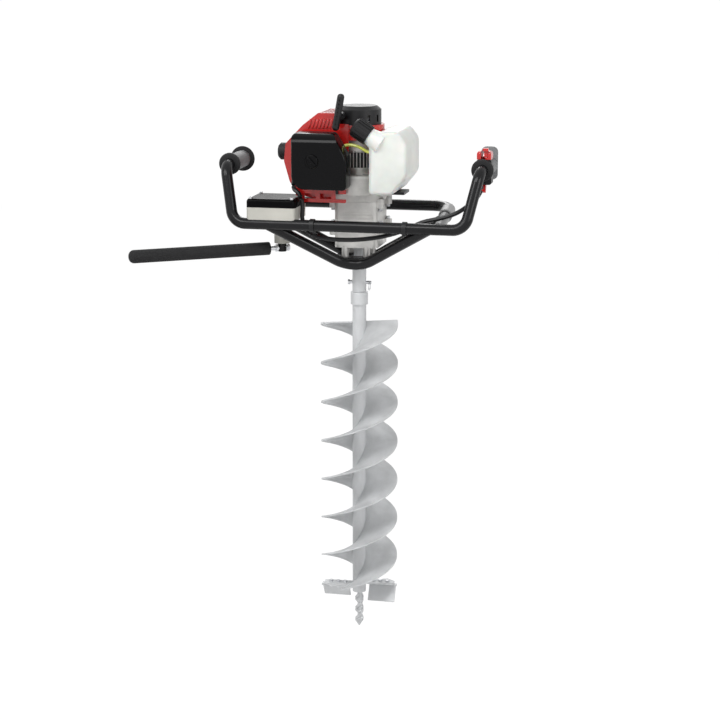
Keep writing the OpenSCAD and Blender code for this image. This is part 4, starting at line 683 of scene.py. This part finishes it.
rear_plate = block("throttle_rear_plate", (272, 50, 1077), (310, 55.8, 1152))
bevel_where(rear_plate, along_y, 12, 6)
bevel_where(rear_plate, across_y, 1.5, 3)
cut_away(rear_plate, rod("bar_end_way", (291, 40, 1110), TO_BACK, 11.3, BORE_R, 48))
finish_piece(rear_plate, "frame", ["throttle_housing"], "grip_grey")

# %% [markdown]
# ## Fins of the crankcase
#
# Between the filter and the tank the lower crankcase shows bright upright fins over dark gaps.
# The dark of the gaps is painted shade: a thin black shell lies round the front of the case, and
# a loop sets ten bevelled bars on it, ten degrees apart, which are then joined into one piece.

# %% Crankcase fins
# painted shade: this black shell round the case stands for the shade in the gaps between the fins
painted_shade_shell = rod("crankcase_painted_gap_shade", (0, 0, 1107), (0, 0, 1), 34, 42.9, 96)
cut_away(painted_shade_shell, rod("case_room", (0, 0, 1100), (0, 0, 1), 60, 42.15, 96))
cut_away(painted_shade_shell, block("back_half", (-60, -24, 1100), (60, 60, 1150)))
finish_piece(painted_shade_shell, "frame", [], "soft_black")
fins = []
for degrees in range(-35, 56, 10):
    fin = block("crankcase_fin", (-1.1, -46, 1107.5), (1.1, -43, 1140.5))
    bevel_where(fin, at_level("y", -46), 0.7, 2)
    turn_piece(fin, degrees, "Z", (0, 0, 1120))
    fins.append(fin)
clear_selection()
for fin in fins:
    fin.select_set(True)
bpy.context.view_layer.objects.active = fins[0]
bpy.ops.object.join()
fins[0].name = "crankcase_fins"
finish_piece(fins[0], "frame", [], "cast_alloy")

# %% [markdown]
# ## Slats on the shroud
#
# Above the filter cover the red shroud has a row of slanted slats over its air inlet. One
# slat is a thin bevelled bar, and an Array modifier repeats it along X.

# %% Shroud slats
slats = block("shroud_slats", (-104, -60.5, 1195), (-98.5, -57.9, 1217))
bevel_where(slats, at_level("y", -60.5), 1.2, 3)
turn_piece(slats, -16, "Y", (-101, -59, 1206))
row = slats.modifiers.new("row", "ARRAY")
row.count = 7
row.use_relative_offset = False
row.use_constant_offset = True
row.constant_offset_displace = (8.2 * MM, 0, 0)
bpy.ops.object.modifier_apply(modifier="row")
finish_piece(slats, "frame", [], "signal_red")

# %% [markdown]
# ## Floor, backdrop and lamps
#
# The photograph is a cut-out on white. A pale plane and a far wall that shine a little for
# the camera give the same clean ground, and so does the world above them. Four large soft
# lamps light the machine.

# %% Stage
STAGE_SIZE, AIR_FOR_LIGHT, AIR_FOR_EYE = 14, 0.32, 1.02


def stage_plane(name, location, rotation, paper):
    clear_selection()
    bpy.ops.mesh.primitive_plane_add(size=STAGE_SIZE, location=location, rotation=rotation)
    plane = bpy.context.object
    plane.name = name
    plane.data.materials.append(paper)


def seen_by_eye(tree):
    """A value of 1 for camera, mirror and glass rays, and of 0 for the rays that light things."""
    rays = tree.nodes.new("ShaderNodeLightPath")
    seen = rays.outputs["Is Camera Ray"]
    for other in ("Is Glossy Ray", "Is Transmission Ray"):
        either = tree.nodes.new("ShaderNodeMath")
        either.operation = "MAXIMUM"
        tree.links.new(seen, either.inputs[0])
        tree.links.new(rays.outputs[other], either.inputs[1])
        seen = either.outputs["Value"]
    return seen


def studio_paper(name, glow_part, glow_level):
    paper = bpy.data.materials.new(name)
    paper.use_nodes = True
    tree = paper.node_tree
    shader = tree.nodes["Principled BSDF"]
    shader.inputs["Base Color"].default_value = (0.86, 0.86, 0.86, 1)
    shader.inputs["Roughness"].default_value = 0.9
    glow = tree.nodes.new("ShaderNodeEmission")
    glow.inputs["Color"].default_value = (1, 1, 1, 1)
    glow.inputs["Strength"].default_value = glow_level
    blend = tree.nodes.new("ShaderNodeMixShader")
    seen = seen_by_eye(tree)
    share = tree.nodes.new("ShaderNodeMath")
    share.operation = "MULTIPLY"
    share.inputs[1].default_value = glow_part
    tree.links.new(seen, share.inputs[0])
    tree.links.new(share.outputs["Value"], blend.inputs["Fac"])
    tree.links.new(shader.outputs["BSDF"], blend.inputs[1])
    tree.links.new(glow.outputs["Emission"], blend.inputs[2])
    tree.links.new(blend.outputs["Shader"], tree.nodes["Material Output"].inputs["Surface"])
    return paper


stage_plane("studio_floor", (0, 0, -0.001), (0, 0, 0), studio_paper("floor_paper", 0.9, 1.08))
stage_plane("studio_wall", (0, 6.5, 3), (math.radians(90), 0, 0),
            studio_paper("wall_paper", 1.0, 1.02))

world = bpy.context.scene.world or bpy.data.worlds.new("studio_air")
bpy.context.scene.world = world
world.use_nodes = True
air = world.node_tree.nodes["Background"]
air.inputs["Color"].default_value = (1, 1, 1, 1)
air_level = world.node_tree.nodes.new("ShaderNodeMapRange")
air_level.inputs["To Min"].default_value = AIR_FOR_LIGHT
air_level.inputs["To Max"].default_value = AIR_FOR_EYE
world.node_tree.links.new(seen_by_eye(world.node_tree), air_level.inputs["Value"])
world.node_tree.links.new(air_level.outputs["Result"], air.inputs["Strength"])
bpy.context.scene.view_settings.view_transform = "Standard"


def soft_lamp(name, location, power, size):
    lamp = bpy.data.lights.new(name, "AREA")
    lamp.energy = power
    lamp.shape = "SQUARE"
    lamp.size = size
    obj = bpy.data.objects.new(name, lamp)
    obj.location = location
    obj.rotation_euler = (LOOK_AT - Vector(location)).to_track_quat("-Z", "Y").to_euler()
    bpy.context.scene.collection.objects.link(obj)


soft_lamp("top_left_lamp", (-2.2, -2.2, 3.2), 50, 1.6)
soft_lamp("front_top_lamp", (-0.6, -2.5, 3.5), 34, 1.2)
soft_lamp("right_lamp", (2.6, -1.8, 2.0), 34, 1.6)
soft_lamp("rim_lamp", (-0.5, 2.6, 2.8), 34, 1.4)
print("stage is set")
